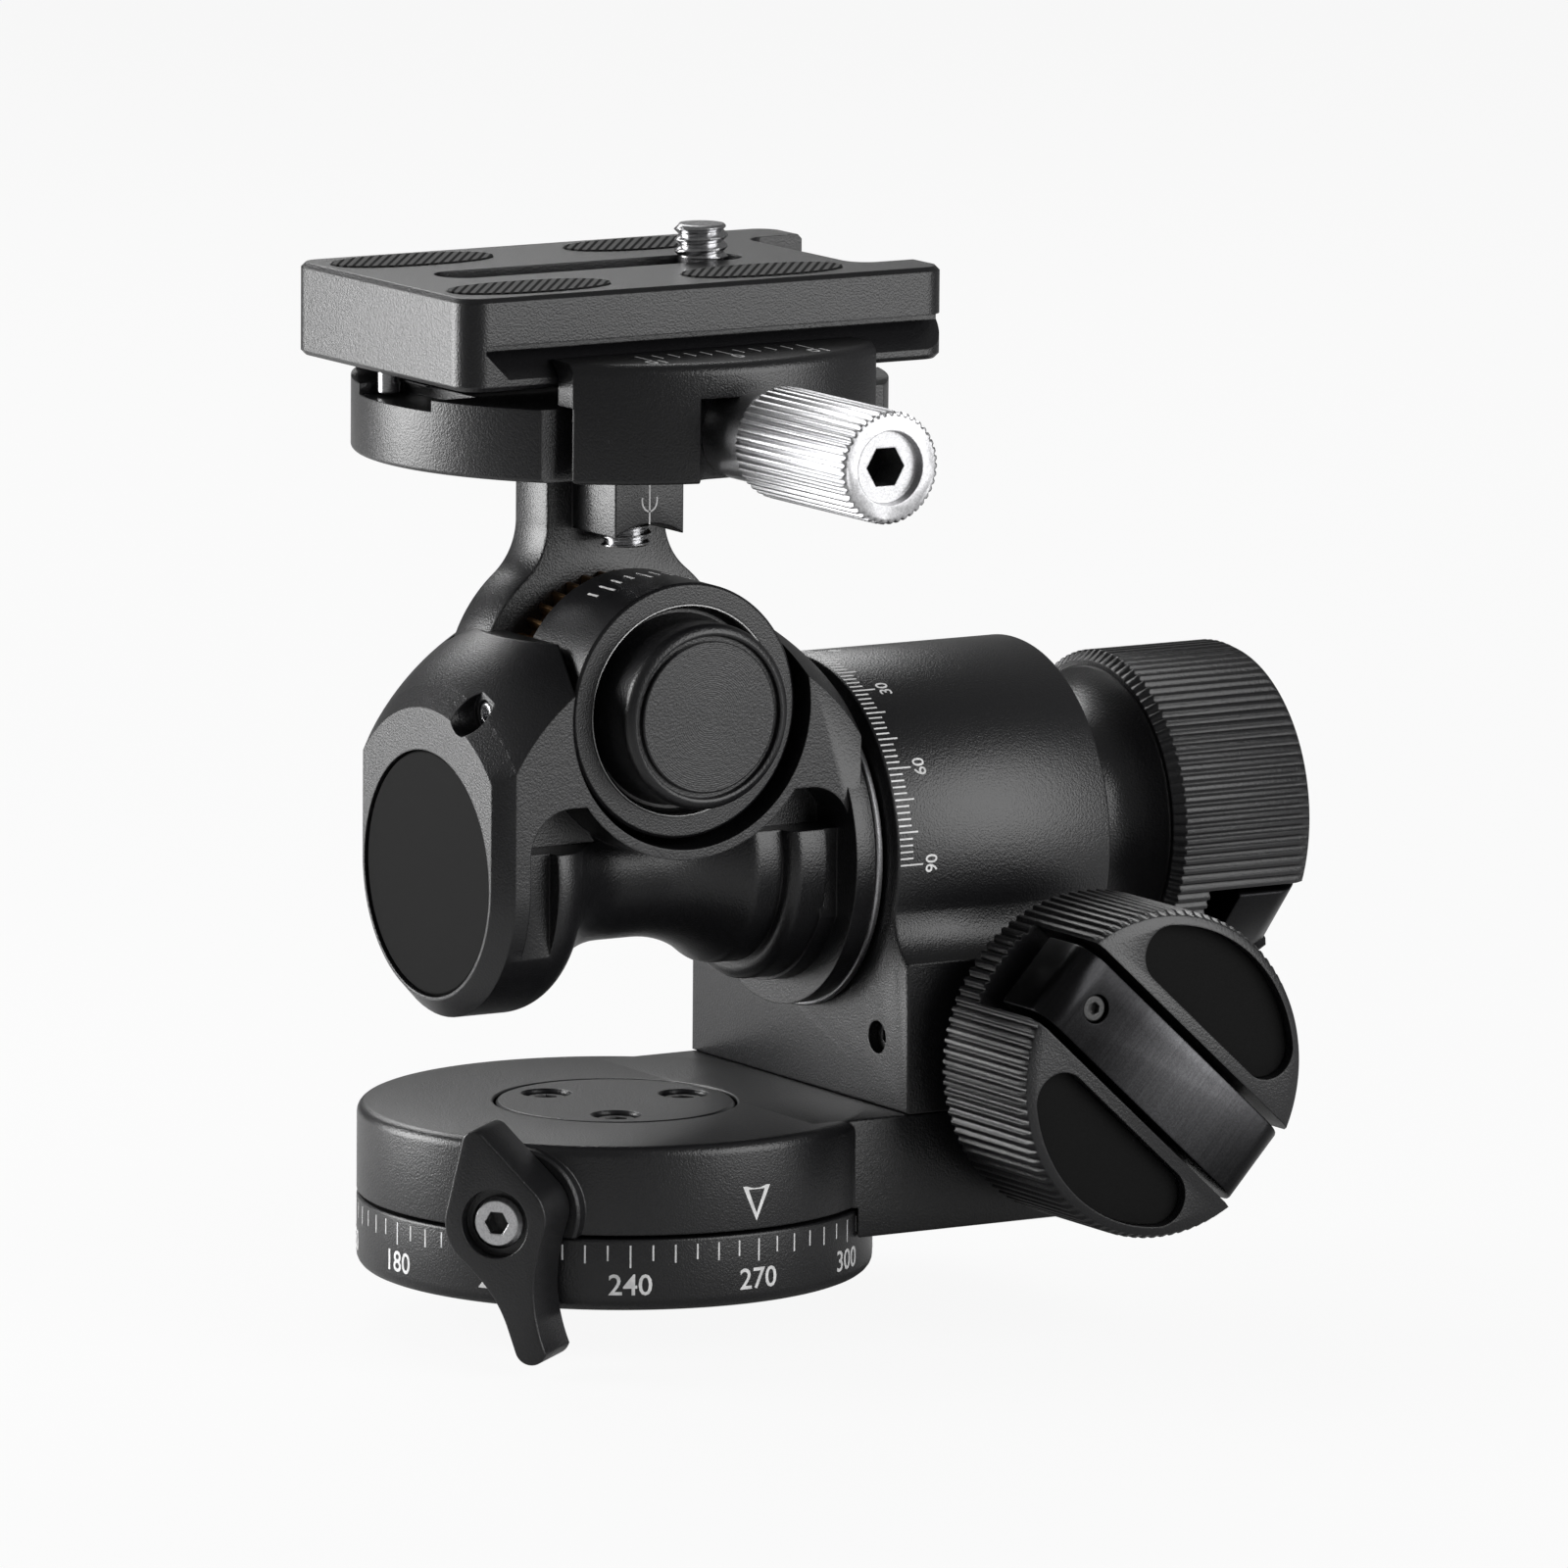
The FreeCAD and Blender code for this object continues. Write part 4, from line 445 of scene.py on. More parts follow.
END_DISC = 14.2
THRUST = 19.4


def end_outline(distance):
    """Outline of the closed end at a distance from the middle: round below, ball-shaped on top."""
    h = LEG - (distance + CLOSED_END)
    crown = math.sqrt(BALL ** 2 - distance ** 2)
    top = AXIS + math.sqrt(crown ** 2 - h ** 2)
    return [(-h, AXIS), (0, AXIS - h, h), (h, AXIS, h), (h, top), (0, AXIS + crown, crown), (-h, top, crown)]


def bevelled(lower, lo, upper, hi):
    """Solid across X between two outlines with the same number of points."""
    bm = bmesh.new()
    rings = [[bm.verts.new((d, y, z)) for y, z in along(points, 5)]
             for points, d in ((lower, lo), (upper, hi))]
    for ring in rings:
        bm.faces.new(ring)
    for i in range(len(rings[0])):
        bm.faces.new((rings[0][i - 1], rings[0][i], rings[1][i], rings[1][i - 1]))
    bmesh.ops.recalc_face_normals(bm, faces=bm.faces)
    return bm


def window(left, right, top, corner):
    """Opening below the cradle with rounded upper corners."""
    return [(left, 25), (right, 25), (right, top - corner), (right - corner, top, corner),
            (left + corner, top), (left, top - corner, corner)]


barrel = at(0, 0, AXIS, TO_X)
leg_slope, boss_slope = math.acos(1 - (LEG - WORM_TUBE) / 15.6), math.acos(1 - 3.9 / 16.7)
spool = lathe([(0, CLOSED_INNER - 0.4), (LEG - 0.1, CLOSED_INNER - 0.4), (LEG, CLOSED_INNER),
               (LEG - 5 * (1 - math.cos(leg_slope)), CLOSED_INNER + 5 * math.sin(leg_slope), 5),
               (WORM_TUBE, CLOSED_INNER + 15.6 * math.sin(leg_slope), -10.6),
               (WORM_TUBE, 11.5 - 16.7 * math.sin(boss_slope)),
               (13.4 - 2 * (1 - math.cos(boss_slope)), 11.5 - 2 * math.sin(boss_slope), -14.7),
               (13.4, 11.5, 2), (13.4, 14.4), (14.1, 14.4), (15.6, 15.9, 1.5), (15.6, 19.0), (0, 19.0)],
              barrel, 180, 4)
ball = lathe([(0, -BALL), (BALL, 0, BALL), (0, BALL, BALL)], barrel, 200, 2)
bend_start = POCKET_TOP - POCKET_CORNER
level = POCKET_HALF - POCKET_CORNER
band = [(-POCKET_HALF, bend_start), (POCKET_HALF, bend_start), (level, POCKET_TOP, POCKET_CORNER),
        (-level, POCKET_TOP), (-POCKET_HALF, bend_start, POCKET_CORNER)]
pocket = window(-POCKET_HALF, POCKET_HALF, POCKET_TOP, POCKET_CORNER)
end = -CLOSED_END
yoke = prism([(CLOSED_END, AXIS), (22.8, AXIS), (22.8, 75.1), (CLOSED_END, 75.1)], -LEG, LEG, "XZ")
yoke = carve(
    yoke,
    ("&", ball),
    ("+", bevelled(end_outline(end), -end, end_outline(end), CLOSED_INNER)),
    ("+", bevelled(end_outline(end + END_BEVEL), -end - END_BEVEL, end_outline(end), -end)),
    ("+", prism([(-16, AXIS + 1), (-16, AXIS), (0, AXIS - 16, 16), (16, AXIS, 16), (16, AXIS + 1)],
                18.7, 22.79, "YZ")),
    ("-", prism(pocket, POCKET_BACK, 18, "XZ")),
    ("-", prism(pocket, -18, -POCKET_BACK, "XZ")),
    ("-", prism(window(-16.3, 18.7, 56.2, POCKET_CORNER), -18, 18, "XZ")),
    ("+", spool),
    ("-", prism(band, 10, 18, "XZ")),
    ("-", prism(band, -18, -10, "XZ")),
    ("+", prism(circle(0, AXIS, FLANGE), 21.0, 23.6, "YZ")),
    ("+", prism([(-CRADLE, TILT), (0, TILT - CRADLE, CRADLE), (CRADLE, TILT, CRADLE)],
                0.01 - LEG, LEG - 0.01, "XZ")),
    ("-", prism(circle(0, TILT, 15.9), -3.2, 18, "XZ")),
    ("-", prism([(-15.07, 57.5, 17.8), (15.07, 57.5), (0, TILT + 17.8, 17.8)], -10.6, -2.8, "XZ")),
    ("-", prism(circle(0, AXIS, WORM_BORE), -24.0, 11.0, "YZ")),
    ("-", rod(9, 13, 25, barrel)),
    ("-", prism(circle(0, AXIS, END_DISC + 0.1), -26, -23.9, "YZ")),
    ("-", prism(circle(ADJUSTER_Y, ADJUSTER_Z, 1.6, 48), -30, -16, "YZ")),
    ("-", prism(circle(ADJUSTER_Y, ADJUSTER_Z, 2.4, 64), -30, -22.2, "YZ")))
piece("yoke_body", yoke, BLACK, "yoke", ["yoke_frame"])
adjuster = socket_screw(1.55, -1.0, 6.2, 1.5, 1.4, at(-16.0, ADJUSTER_Y, ADJUSTER_Z, TO_X.inverted()), 0.4)
piece("adjusting_screw_head", adjuster, STEEL, "yoke", ["adjusting_screw"])
INLAY = coated("smooth_black_inlay", (0.006, 0.006, 0.006), 0.75, 0.03, 5200.0, spec=0.12)
cover = lathe([(0, -25.2), (END_DISC - 0.3, -25.2), (END_DISC, -24.9), (END_DISC, -23.9), (0, -23.9)], barrel)
piece("end_disc_inlay", cover, INLAY, "yoke", ["end_disc"])
SILVER = coated("silver_alloy", (0.5, 0.5, 0.51), 0.33, 0.08, 5200.0, metal=1.0)
thrust = lathe([(9, 23.6), (THRUST - 0.2, 23.6), (THRUST, 23.75), (THRUST, 24.25), (THRUST - 0.2, 24.4),
                (9, 24.4)], barrel)
piece("thrust_ring_band", thrust, SILVER, "yoke", ["thrust_ring"])


# ---- Tilt drum and cap: drum of radius 14.84 mm about the tilt axis, 67.1 mm up, its front a flat
# annulus; the cap of radius 10.8 mm stands 5.7 mm out of it with a let-in disc. Satin black, white ticks.
# Rides on platform and stands for tilt_drum, tilt_cap and tilt_cap_disc.
DRUM = 14.84
DRUM_FRONT = 15.0
CAP = 10.8
CAP_FRONT = 20.7
tilt = at(0, 0, TILT, TO_FRONT)
drum = lathe([(8, 1.85), (14.6, 1.85), (DRUM, 2.1), (DRUM, DRUM_FRONT - 0.3), (14.5, DRUM_FRONT),
              (12.4, DRUM_FRONT), (12.1, DRUM_FRONT - 0.3), (11.6, 13.0), (8, 13.0)], None, 220)
relief = prism([(math.cos(math.radians(a)) * r, math.sin(math.radians(a)) * r) for r, a in
                [(12.3, -146 + 8 * i) for i in range(15)] + [(18, -34 - 8 * i) for i in range(15)]],
               1.0, 7.05)
drum = carve(drum, ("-", relief))
drum.transform(tilt)
piece("tilt_drum_shell", drum, BLACK, "platform", ["tilt_drum"])
knob = lathe([(0, 13), (CAP + 0.4, 13), (CAP, 14.5), (CAP, CAP_FRONT - 1.4), (CAP - 1.0, CAP_FRONT, 1.2),
              (9.5, 20.6), (9.35, 19.95), (0, 19.95)], tilt, 200)
piece("tilt_cap_shell", knob, BLACK, "platform", ["tilt_cap"])
face = lathe([(0, 19.9), (8.8, 19.9), (8.8, 20.45), (8.65, 20.6), (0, 20.6)], tilt, 200)


def turned_face(name):
    """The black coating with the fine rings of a lathe about the tilt axis."""
    m = coated(name, (0.009, 0.009, 0.01), 0.3, 0.5, 4200.0, spec=0.62)
    n, link = m.node_tree.nodes, m.node_tree.links
    spot = n.new("ShaderNodeTexCoord")
    centred = n.new("ShaderNodeMapping")
    centred.inputs["Location"].default_value = (0, 0, -TILT / 1000)
    rings = n.new("ShaderNodeTexWave")
    rings.wave_type = "RINGS"
    rings.rings_direction = "Y"
    rings.inputs["Scale"].default_value = 1300.0
    rings.inputs["Distortion"].default_value = 0.0
    cut = n.new("ShaderNodeBump")
    cut.inputs["Strength"].default_value = 0.25
    cut.inputs["Distance"].default_value = 0.00003
    link.new(spot.outputs["Object"], centred.inputs["Vector"])
    link.new(centred.outputs["Vector"], rings.inputs["Vector"])
    link.new(rings.outputs["Fac"], cut.inputs["Height"])
    link.new(n["Bump"].outputs["Normal"], cut.inputs["Normal"])
    link.new(cut.outputs["Normal"], n["Principled BSDF"].inputs["Normal"])
    return m


piece("tilt_cap_face", face, turned_face("turned_black"), "platform", ["tilt_cap_disc"])
POLISH = coated("polished_edge", (0.3, 0.3, 0.3), 0.12, 0.02, 5200.0, metal=1.0)
edge_ring = lathe([(11.95, 14.5), (12.15, 14.5), (12.35, 15.0), (12.2, 15.02), (11.95, 14.7)], tilt, 200)
piece("tilt_drum_edge", edge_ring, POLISH, "platform")


def on_drum(angle, front, radius):
    """Point on the drum: degrees from straight up towards -X, distance to the front."""
    a = math.radians(angle)
    return Vector((-radius * math.sin(a), -front, TILT + radius * math.cos(a)))


half = math.degrees(0.14 / DRUM)
marks = []
for step in range(-4, 5):
    angle = 3.4 + step * 6.6
    far = 9.0 if step % 3 == 0 else 7.8
    marks.append(slab(lambda h, a=angle, f=far: [on_drum(a - half, 5.6, h), on_drum(a + half, 5.6, h),
                                                 on_drum(a + half, f, h), on_drum(a - half, f, h)],
                      DRUM - 0.06, DRUM + RAISED))
piece("tilt_scale", merged(*marks), WHITE, "platform")


# ---- Platform arm: plate from the hub up to the clamp with wide fillets, and the index block in front.
# Satin black, 7.4 mm thick; white index line and mark on the block; bright threaded end below it.
# Rides on platform and stands for platform_arm and clamp_bolt.
ARM_BACK, ARM_FRONT = -10.2, -2.8
BLOCK_HALF, BLOCK_FRONT = 4.6, 6.9
hub, half, fillet, crown = 17.4, 8.0, 8.0, 28.7
side = math.sqrt((hub + fillet) ** 2 - (half + fillet) ** 2)
touch = ((half + fillet) * hub / (hub + fillet), side * hub / (hub + fillet))
plate = prism([(-half, crown), (-half, side), (-touch[0], touch[1], -fillet), (-hub, 0, hub), (hub, 0),
               (touch[0], touch[1], hub), (half, side, -fillet), (half, crown)], ARM_BACK, ARM_FRONT, "XZ",
              soft=0.4, sharp=60)
low = prism(circle(0, 0, 12), ARM_BACK, ARM_FRONT, "XZ")
core = prism(circle(0, 0, 8), ARM_FRONT, 13.0, "XZ")
block = prism([(-BLOCK_HALF, 19.2), (BLOCK_HALF, 19.2, -8), (BLOCK_HALF, crown), (-BLOCK_HALF, crown)],
              ARM_FRONT, BLOCK_FRONT, "XZ", soft=0.7, segments=3, sharp=60)
parts = merged(plate, low, core, block)
parts.transform(at(0, 0, TILT))
piece("platform_arm_plate", parts, BLACK, "platform", ["platform_arm"])


def on_block(points):
    """Thin mark on the front of the index block from points (x, height above the tilt axis)."""
    return prism([(x, TILT + z) for x, z in points], BLOCK_FRONT - 0.04, BLOCK_FRONT + 0.01, "XZ")


def on_loop(angle, wide, tall):
    """Point of the index mark's small loop: degrees from straight down."""
    a = math.radians(angle)
    return (wide * math.sin(a), 23.4 - tall * math.cos(a))


line = on_block([(-0.1, 20.6), (0.1, 20.6), (0.1, 26.6), (-0.1, 26.6)])
loop = [on_block([on_loop(a, 1.1, 1.4), on_loop(a + 15, 1.1, 1.4),
                  on_loop(a + 15, 0.9, 1.2), on_loop(a, 0.9, 1.2)]) for a in range(-105, 105, 15)]
piece("index_mark", merged(line, *loop), WHITE, "platform")


def threaded(radius, pitch, low, high, deep, where, tip=0.5):
    """Screw thread as one closed grid about its own Z."""
    around, rows = 48, int((high - low) / pitch * 8)
    bm = bmesh.new()
    grid = []
    for j in range(rows + 1):
        h = low + (high - low) * j / rows
        row = []
        for i in range(around):
            phase = (h / pitch - i / around) % 1.0
            r = radius - deep * abs(2 * phase - 1)
            r = min(r, radius - max(0.0, h - high + tip))
            a = 2 * math.pi * i / around
            row.append(bm.verts.new((r * math.cos(a), r * math.sin(a), h)))
        grid.append(row)
    for j in range(rows):
        for i in range(around):
            bm.faces.new((grid[j][i - 1], grid[j][i], grid[j + 1][i], grid[j + 1][i - 1]))
    bm.faces.new(grid[0])
    bm.faces.new(grid[-1])
    bmesh.ops.recalc_face_normals(bm, faces=bm.faces)
    bm.transform(where)
    return bm


BOLT_Y = -1.6
bolt = threaded(3.0, 1.0, 0, 17.6, 0.55, at(0, BOLT_Y, TILT + 17.6))
piece("clamp_bolt_end", bolt, STEEL, "platform", ["clamp_bolt"])


# ---- Clamp: round body of radius 31 mm with the rear jaw, channel for the plate, notched left end;
# the front jaw with rounded top edge and a scale; both satin black, 13.8 mm high, from 95.8 mm up.
# Body rides on platform and stands for clamp_body; jaw rides on jaw and stands for clamp_jaw.
CLAMP = 31.0
CLAMP_FOOT, CLAMP_TOP = 95.8, 109.6
CHANNEL_FLOOR = 104.2
FACE, LIP_FACE = 20.25, 18.5
LIP = CLAMP_TOP - (FACE - LIP_FACE)
NOTCH_HALF, NOTCH_FLOOR = 8.2, 102.9
JAW_HALF, JAW_BACK = 20.2, 23.5
DIVISION = 2.15


def clamp_blank():
    """Round blank of the clamp with softened edges."""
    return lathe([(0, CLAMP_FOOT), (CLAMP - 0.5, CLAMP_FOOT), (CLAMP, CLAMP_FOOT + 0.5, 0.5),
                  (CLAMP, CLAMP_TOP - 1.4), (CLAMP - 1.4, CLAMP_TOP, 1.4), (0, CLAMP_TOP)], steps=256)


def box(x0, x1, y0, y1, lo, hi, plane="XY"):
    """Plain block for cuts."""
    return prism([(x0, y0), (x1, y0), (x1, y1), (x0, y1)], lo, hi, plane)


body = carve(clamp_blank(),
             ("-", prism([(-50, 90), (-21, 90), (-21, CHANNEL_FLOOR), (FACE, CHANNEL_FLOOR), (FACE, LIP),
                          (LIP_FACE, CLAMP_TOP), (LIP_FACE, 120), (-50, 120)], -50, 50, "YZ")),
             ("-", box(-NOTCH_HALF, NOTCH_HALF, NOTCH_FLOOR, 105, -50, -24, "YZ")),
             ("-", box(-NOTCH_HALF, NOTCH_HALF, NOTCH_FLOOR, 105, 24, 50, "YZ")),
             ("-", rod(5.1, 102.3, 106, at(0, BOLT_Y), 64)))
piece("clamp_disc", body, BLACK, "platform", ["clamp_body"])
jaw = carve(clamp_blank(),
            ("-", prism([(-JAW_BACK, 90), (50, 90), (50, 120), (-LIP_FACE, 120), (-LIP_FACE, CLAMP_TOP),
                         (-FACE, LIP), (-FACE, 104.5), (-JAW_BACK, 104.5)], -50, 50, "YZ")),
            ("-", box(-40, -JAW_HALF, 90, 120, 0, 40, "XZ")),
            ("-", box(JAW_HALF, 40, 90, 120, 0, 40, "XZ")),
            ("-", prism([(-4.2, -27.0), (-7.2, -30.0, 3.0), (-7.2, -40), (7.2, -40), (7.2, -30.0),
                         (4.2, -27.0, 3.0)], 90, 105.6)))
piece("clamp_front_jaw", jaw, BLACK, "jaw", ["clamp_jaw"])
marks = []
for step in range(-5, 6):
    near, far = (21.4, 25.0) if step % 5 == 0 else (21.5, 24.0)
    x = DIVISION * step
    marks.append(box(x - 0.11, x + 0.11, -far, -near, CLAMP_TOP - SUNK, CLAMP_TOP + RAISED))
for step in (-5, 0, 5):
    marks.append(digits(str(abs(2 * step)), 2.1, lambda x, y, z, n=step: Vector((
        DIVISION * n - x, -25.3 - y, CLAMP_TOP - RAISED + z))))
piece("clamp_scale", merged(*marks), WHITE, "jaw")


# ---- Clamp knob: silver, radius 6.45 mm, 23.5 mm long, 42 flutes, hub of radius 5.3 mm behind.
# Its face has a round recess with a hexagon socket, which has a dark floor.
# Rides on clamp_grip and stands for clamp_knob.
GRIP, GRIP_HUB = 6.45, 5.3
GRIP_BACK, GRIP_FRONT = 36.0, 59.5
GRIP_AXIS = 100.9


def fluted(radius, deep, count, low, high, edge_low, edge_high):
    """Solid bar with straight flutes, its ends drawn in."""
    bm = bmesh.new()
    around = count * 6
    heights = [(low, edge_low), (low + edge_low, 0), (high - edge_high, 0), (high - edge_high * 0.3,
               edge_high * 0.35), (high, edge_high)]
    grid = []
    for h, inset in heights:
        row = []
        for i in range(around):
            r = min(radius - deep * (0, 0.75, 1.0, 0.75, 0, 0)[i % 6], radius - inset)
            a = 2 * math.pi * i / around
            row.append(bm.verts.new((r * math.cos(a), r * math.sin(a), h)))
        grid.append(row)
    for j in range(len(grid) - 1):
        for i in range(around):
            bm.faces.new((grid[j][i - 1], grid[j][i], grid[j + 1][i], grid[j + 1][i - 1]))
    bm.faces.new(grid[0])
    bm.faces.new(grid[-1])
    bmesh.ops.recalc_face_normals(bm, faces=bm.faces)
    return bm


grip_place = at(0, 0, GRIP_AXIS, TO_FRONT)
grip = fluted(GRIP, 0.45, 42, GRIP_BACK, GRIP_FRONT, 0.4, 0.6)
grip = carve(grip, ("+", rod(GRIP_HUB, 27, GRIP_BACK + 0.5, None, 96)),
             ("-", lathe([(0, 58.4), (4.1, 58.4), (4.3, 60), (0, 60)], None, 96)),
             ("-", prism(hexagon(4.3), 53.6, 59)))
grip.transform(grip_place)
socket_floor = rod(2.7, 53.0, 53.75, grip_place, 48)
piece("clamp_knob_socket_floor", socket_floor, INLAY, "clamp_grip")
piece("clamp_knob_grip", grip, SILVER, "clamp_grip", ["clamp_knob"])


# ---- Camera plate: 64.5 x 40.1 x 10.7 mm, dovetail grooves along both sides from the closed end on,
# rounded corners, a fork at the other end, a slot and four ribbed rubber pads let into the top.
# Satin black; rides on plate and stands for camera_plate, plate_pads and stop_pin.
PLATE_X, PLATE_Y, PLATE_CORNER = 32.25, 20.05, 3.2
PLATE_FOOT, PLATE_TOP = 106.5, 117.2
GROOVE_FOOT, GROOVE_TOP, GROOVE_DEEP = 107.7, 111.7, 17.0
GROOVE_END = -29.5
SLOT_MIDDLE, SLOT_HALF, SLOT_WIDE = -4.25, 20.05, 3.3
TRACK_TOP = 111.5
PAD_SEAT = 116.4
PADS = [(x, y) for x in (-20.0, 11.0) for y in (-13.3, 13.3)]
x_end, y_end = PLATE_X - PLATE_CORNER, PLATE_Y - PLATE_CORNER
camera_plate = prism([(-x_end, -PLATE_Y, PLATE_CORNER), (x_end, -PLATE_Y), (PLATE_X, -y_end, PLATE_CORNER),
                      (PLATE_X, y_end), (x_end, PLATE_Y, PLATE_CORNER), (-x_end, PLATE_Y),
                      (-PLATE_X, y_end, PLATE_CORNER), (-PLATE_X, -y_end)], PLATE_FOOT, PLATE_TOP)
soften(camera_plate, 0.55, 1, 60)


def groove(sign):
    """Dovetail groove on one side."""
    slant_top = GROOVE_FOOT + PLATE_Y - GROOVE_DEEP
    cut = prism([(sign * PLATE_Y, GROOVE_FOOT), (sign * GROOVE_DEEP, slant_top),
                 (sign * GROOVE_DEEP, GROOVE_TOP), (sign * 30, GROOVE_TOP), (sign * 30, GROOVE_FOOT)],
                GROOVE_END, 40, "YZ")
    keep = prism([(-31, 107), (GROOVE_END + 3.75, 107), (GROOVE_END, slant_top), (-31, slant_top)],
                 -40, 40, "XZ")
    return carve(cut, ("-", keep))


def oval(x, y, a, b):
    """Rounded slot along X."""
    return [(x - a + b, y - b, b), (x + a - b, y - b), (x + a - b, y + b, b), (x - a + b, y + b)]


def ellipse(x, y, a, b, count=72):
    """Corners of a slightly squared oval."""
    points = []
    for i in range(count):
        t = 2 * math.pi * i / count
        c, s = math.cos(t), math.sin(t)
        points.append((x + a * math.copysign(abs(c) ** 0.9, c), y + b * math.copysign(abs(s) ** 0.9, s)))
    return points


camera_plate = carve(
    camera_plate, ("-", groove(-1)), ("-", groove(1)),
    ("-", prism([(27, -12.8, 3), (50, -12.8), (50, 12.8), (27, 12.8), (24, 9.8, 3), (24, -9.8)], 100, 120)),
    ("-", prism(oval(SLOT_MIDDLE, 0, SLOT_HALF, SLOT_WIDE), 100, 120)),
    ("-", prism(oval(SLOT_MIDDLE, 0, SLOT_HALF + 3, SLOT_WIDE + 3), 100, TRACK_TOP)),
    *[("-", prism(ellipse(x, y, 10.4, 4.5), PAD_SEAT, 120)) for x, y in PADS])
piece("camera_plate_body", camera_plate, BLACK, "plate", ["camera_plate"])


def ribbed(name):
    """Black rubber with fine slanted ribs."""
    m = coated(name, (0.012, 0.012, 0.012), 0.7, 0.2, 4200.0, spec=0.3)
    n, link = m.node_tree.nodes, m.node_tree.links
    place = n.new("ShaderNodeTexCoord")
    turned = n.new("ShaderNodeMapping")
    turned.inputs["Rotation"].default_value = (0, 0, math.radians(38))
    waves = n.new("ShaderNodeTexWave")
    waves.inputs["Scale"].default_value = 330.0
    waves.inputs["Distortion"].default_value = 0.0
    bump = n.new("ShaderNodeBump")
    bump.inputs["Strength"].default_value = 1.0
    bump.inputs["Distance"].default_value = 0.0004
    link.new(place.outputs["Object"], turned.inputs["Vector"])
    link.new(turned.outputs["Vector"], waves.inputs["Vector"])
    link.new(waves.outputs["Fac"], bump.inputs["Height"])
    link.new(bump.outputs["Normal"], n["Principled BSDF"].inputs["Normal"])
    return m


pads = merged(*[prism(ellipse(x, y, 10.3, 4.4), PAD_SEAT, PLATE_TOP + 0.2) for x, y in PADS])
piece("plate_pad_ribs", pads, ribbed("ribbed_rubber"), "plate", ["plate_pads"])
PIN_X, PIN_Y = -27.6, 5.4
pin = lathe([(0, 103.25), (1.1, 103.25), (1.3, 103.45), (1.3, PLATE_FOOT), (0, PLATE_FOOT)],
            at(PIN_X, PIN_Y), 48)
piece("stop_pin_end", pin, STEEL, "plate", ["stop_pin"])


# ---- Camera screw: quarter-inch thread, radius 3.175 mm, standing 4 mm out of the plate at x 10.8.
# Bright steel, with a flat head of radius 5.9 mm in the track below and a coin slot in it.
# Rides on camera_bolt and stands for camera_screw.
SCREW_X = 10.8
SCREW_TOP = PLATE_TOP + 4.0
HEAD_FOOT, HEAD_TOP = 108.5, 111.45
shank = threaded(3.175, 1.27, PLATE_TOP + 0.2, SCREW_TOP, 0.65, at(SCREW_X, 0))
head = lathe([(0, HEAD_FOOT), (5.9, HEAD_FOOT), (5.9, HEAD_TOP), (2.6, HEAD_TOP), (2.6, PLATE_TOP + 0.3),
              (0, PLATE_TOP + 0.3)], at(SCREW_X, 0), 96)
head = carve(head, ("-", box(SCREW_X - 4.5, SCREW_X + 4.5, -0.8, 0.8, 108, 109.9)))
piece("camera_screw_thread", merged(shank, head), STEEL, "camera_bolt", ["camera_screw"])


# ---- Knobs: radius 19.15 mm, 19 mm long, 96 flutes, concave neck, two half-moon wells with inlays and
# a bar 9.6 mm wide across the face with brush marks, a painted highlight along its middle and a small screw.
# Rear knob on +X, lower one on the front.
# Rear pieces ride on tilt_worm and rear_bar, lower ones on roll_worm and lower_bar.
KNOB = 19.15
KNOB_LONG = 19.0
WELL_INNER, WELL_OUTER, WELL_CORNER = 7.3, 17.6, 3.5
WELL_FLOOR = 17.0
BAR_HALF = 4.8
BAR_TOP = 18.9
BAR_SCREW_X = -12.8


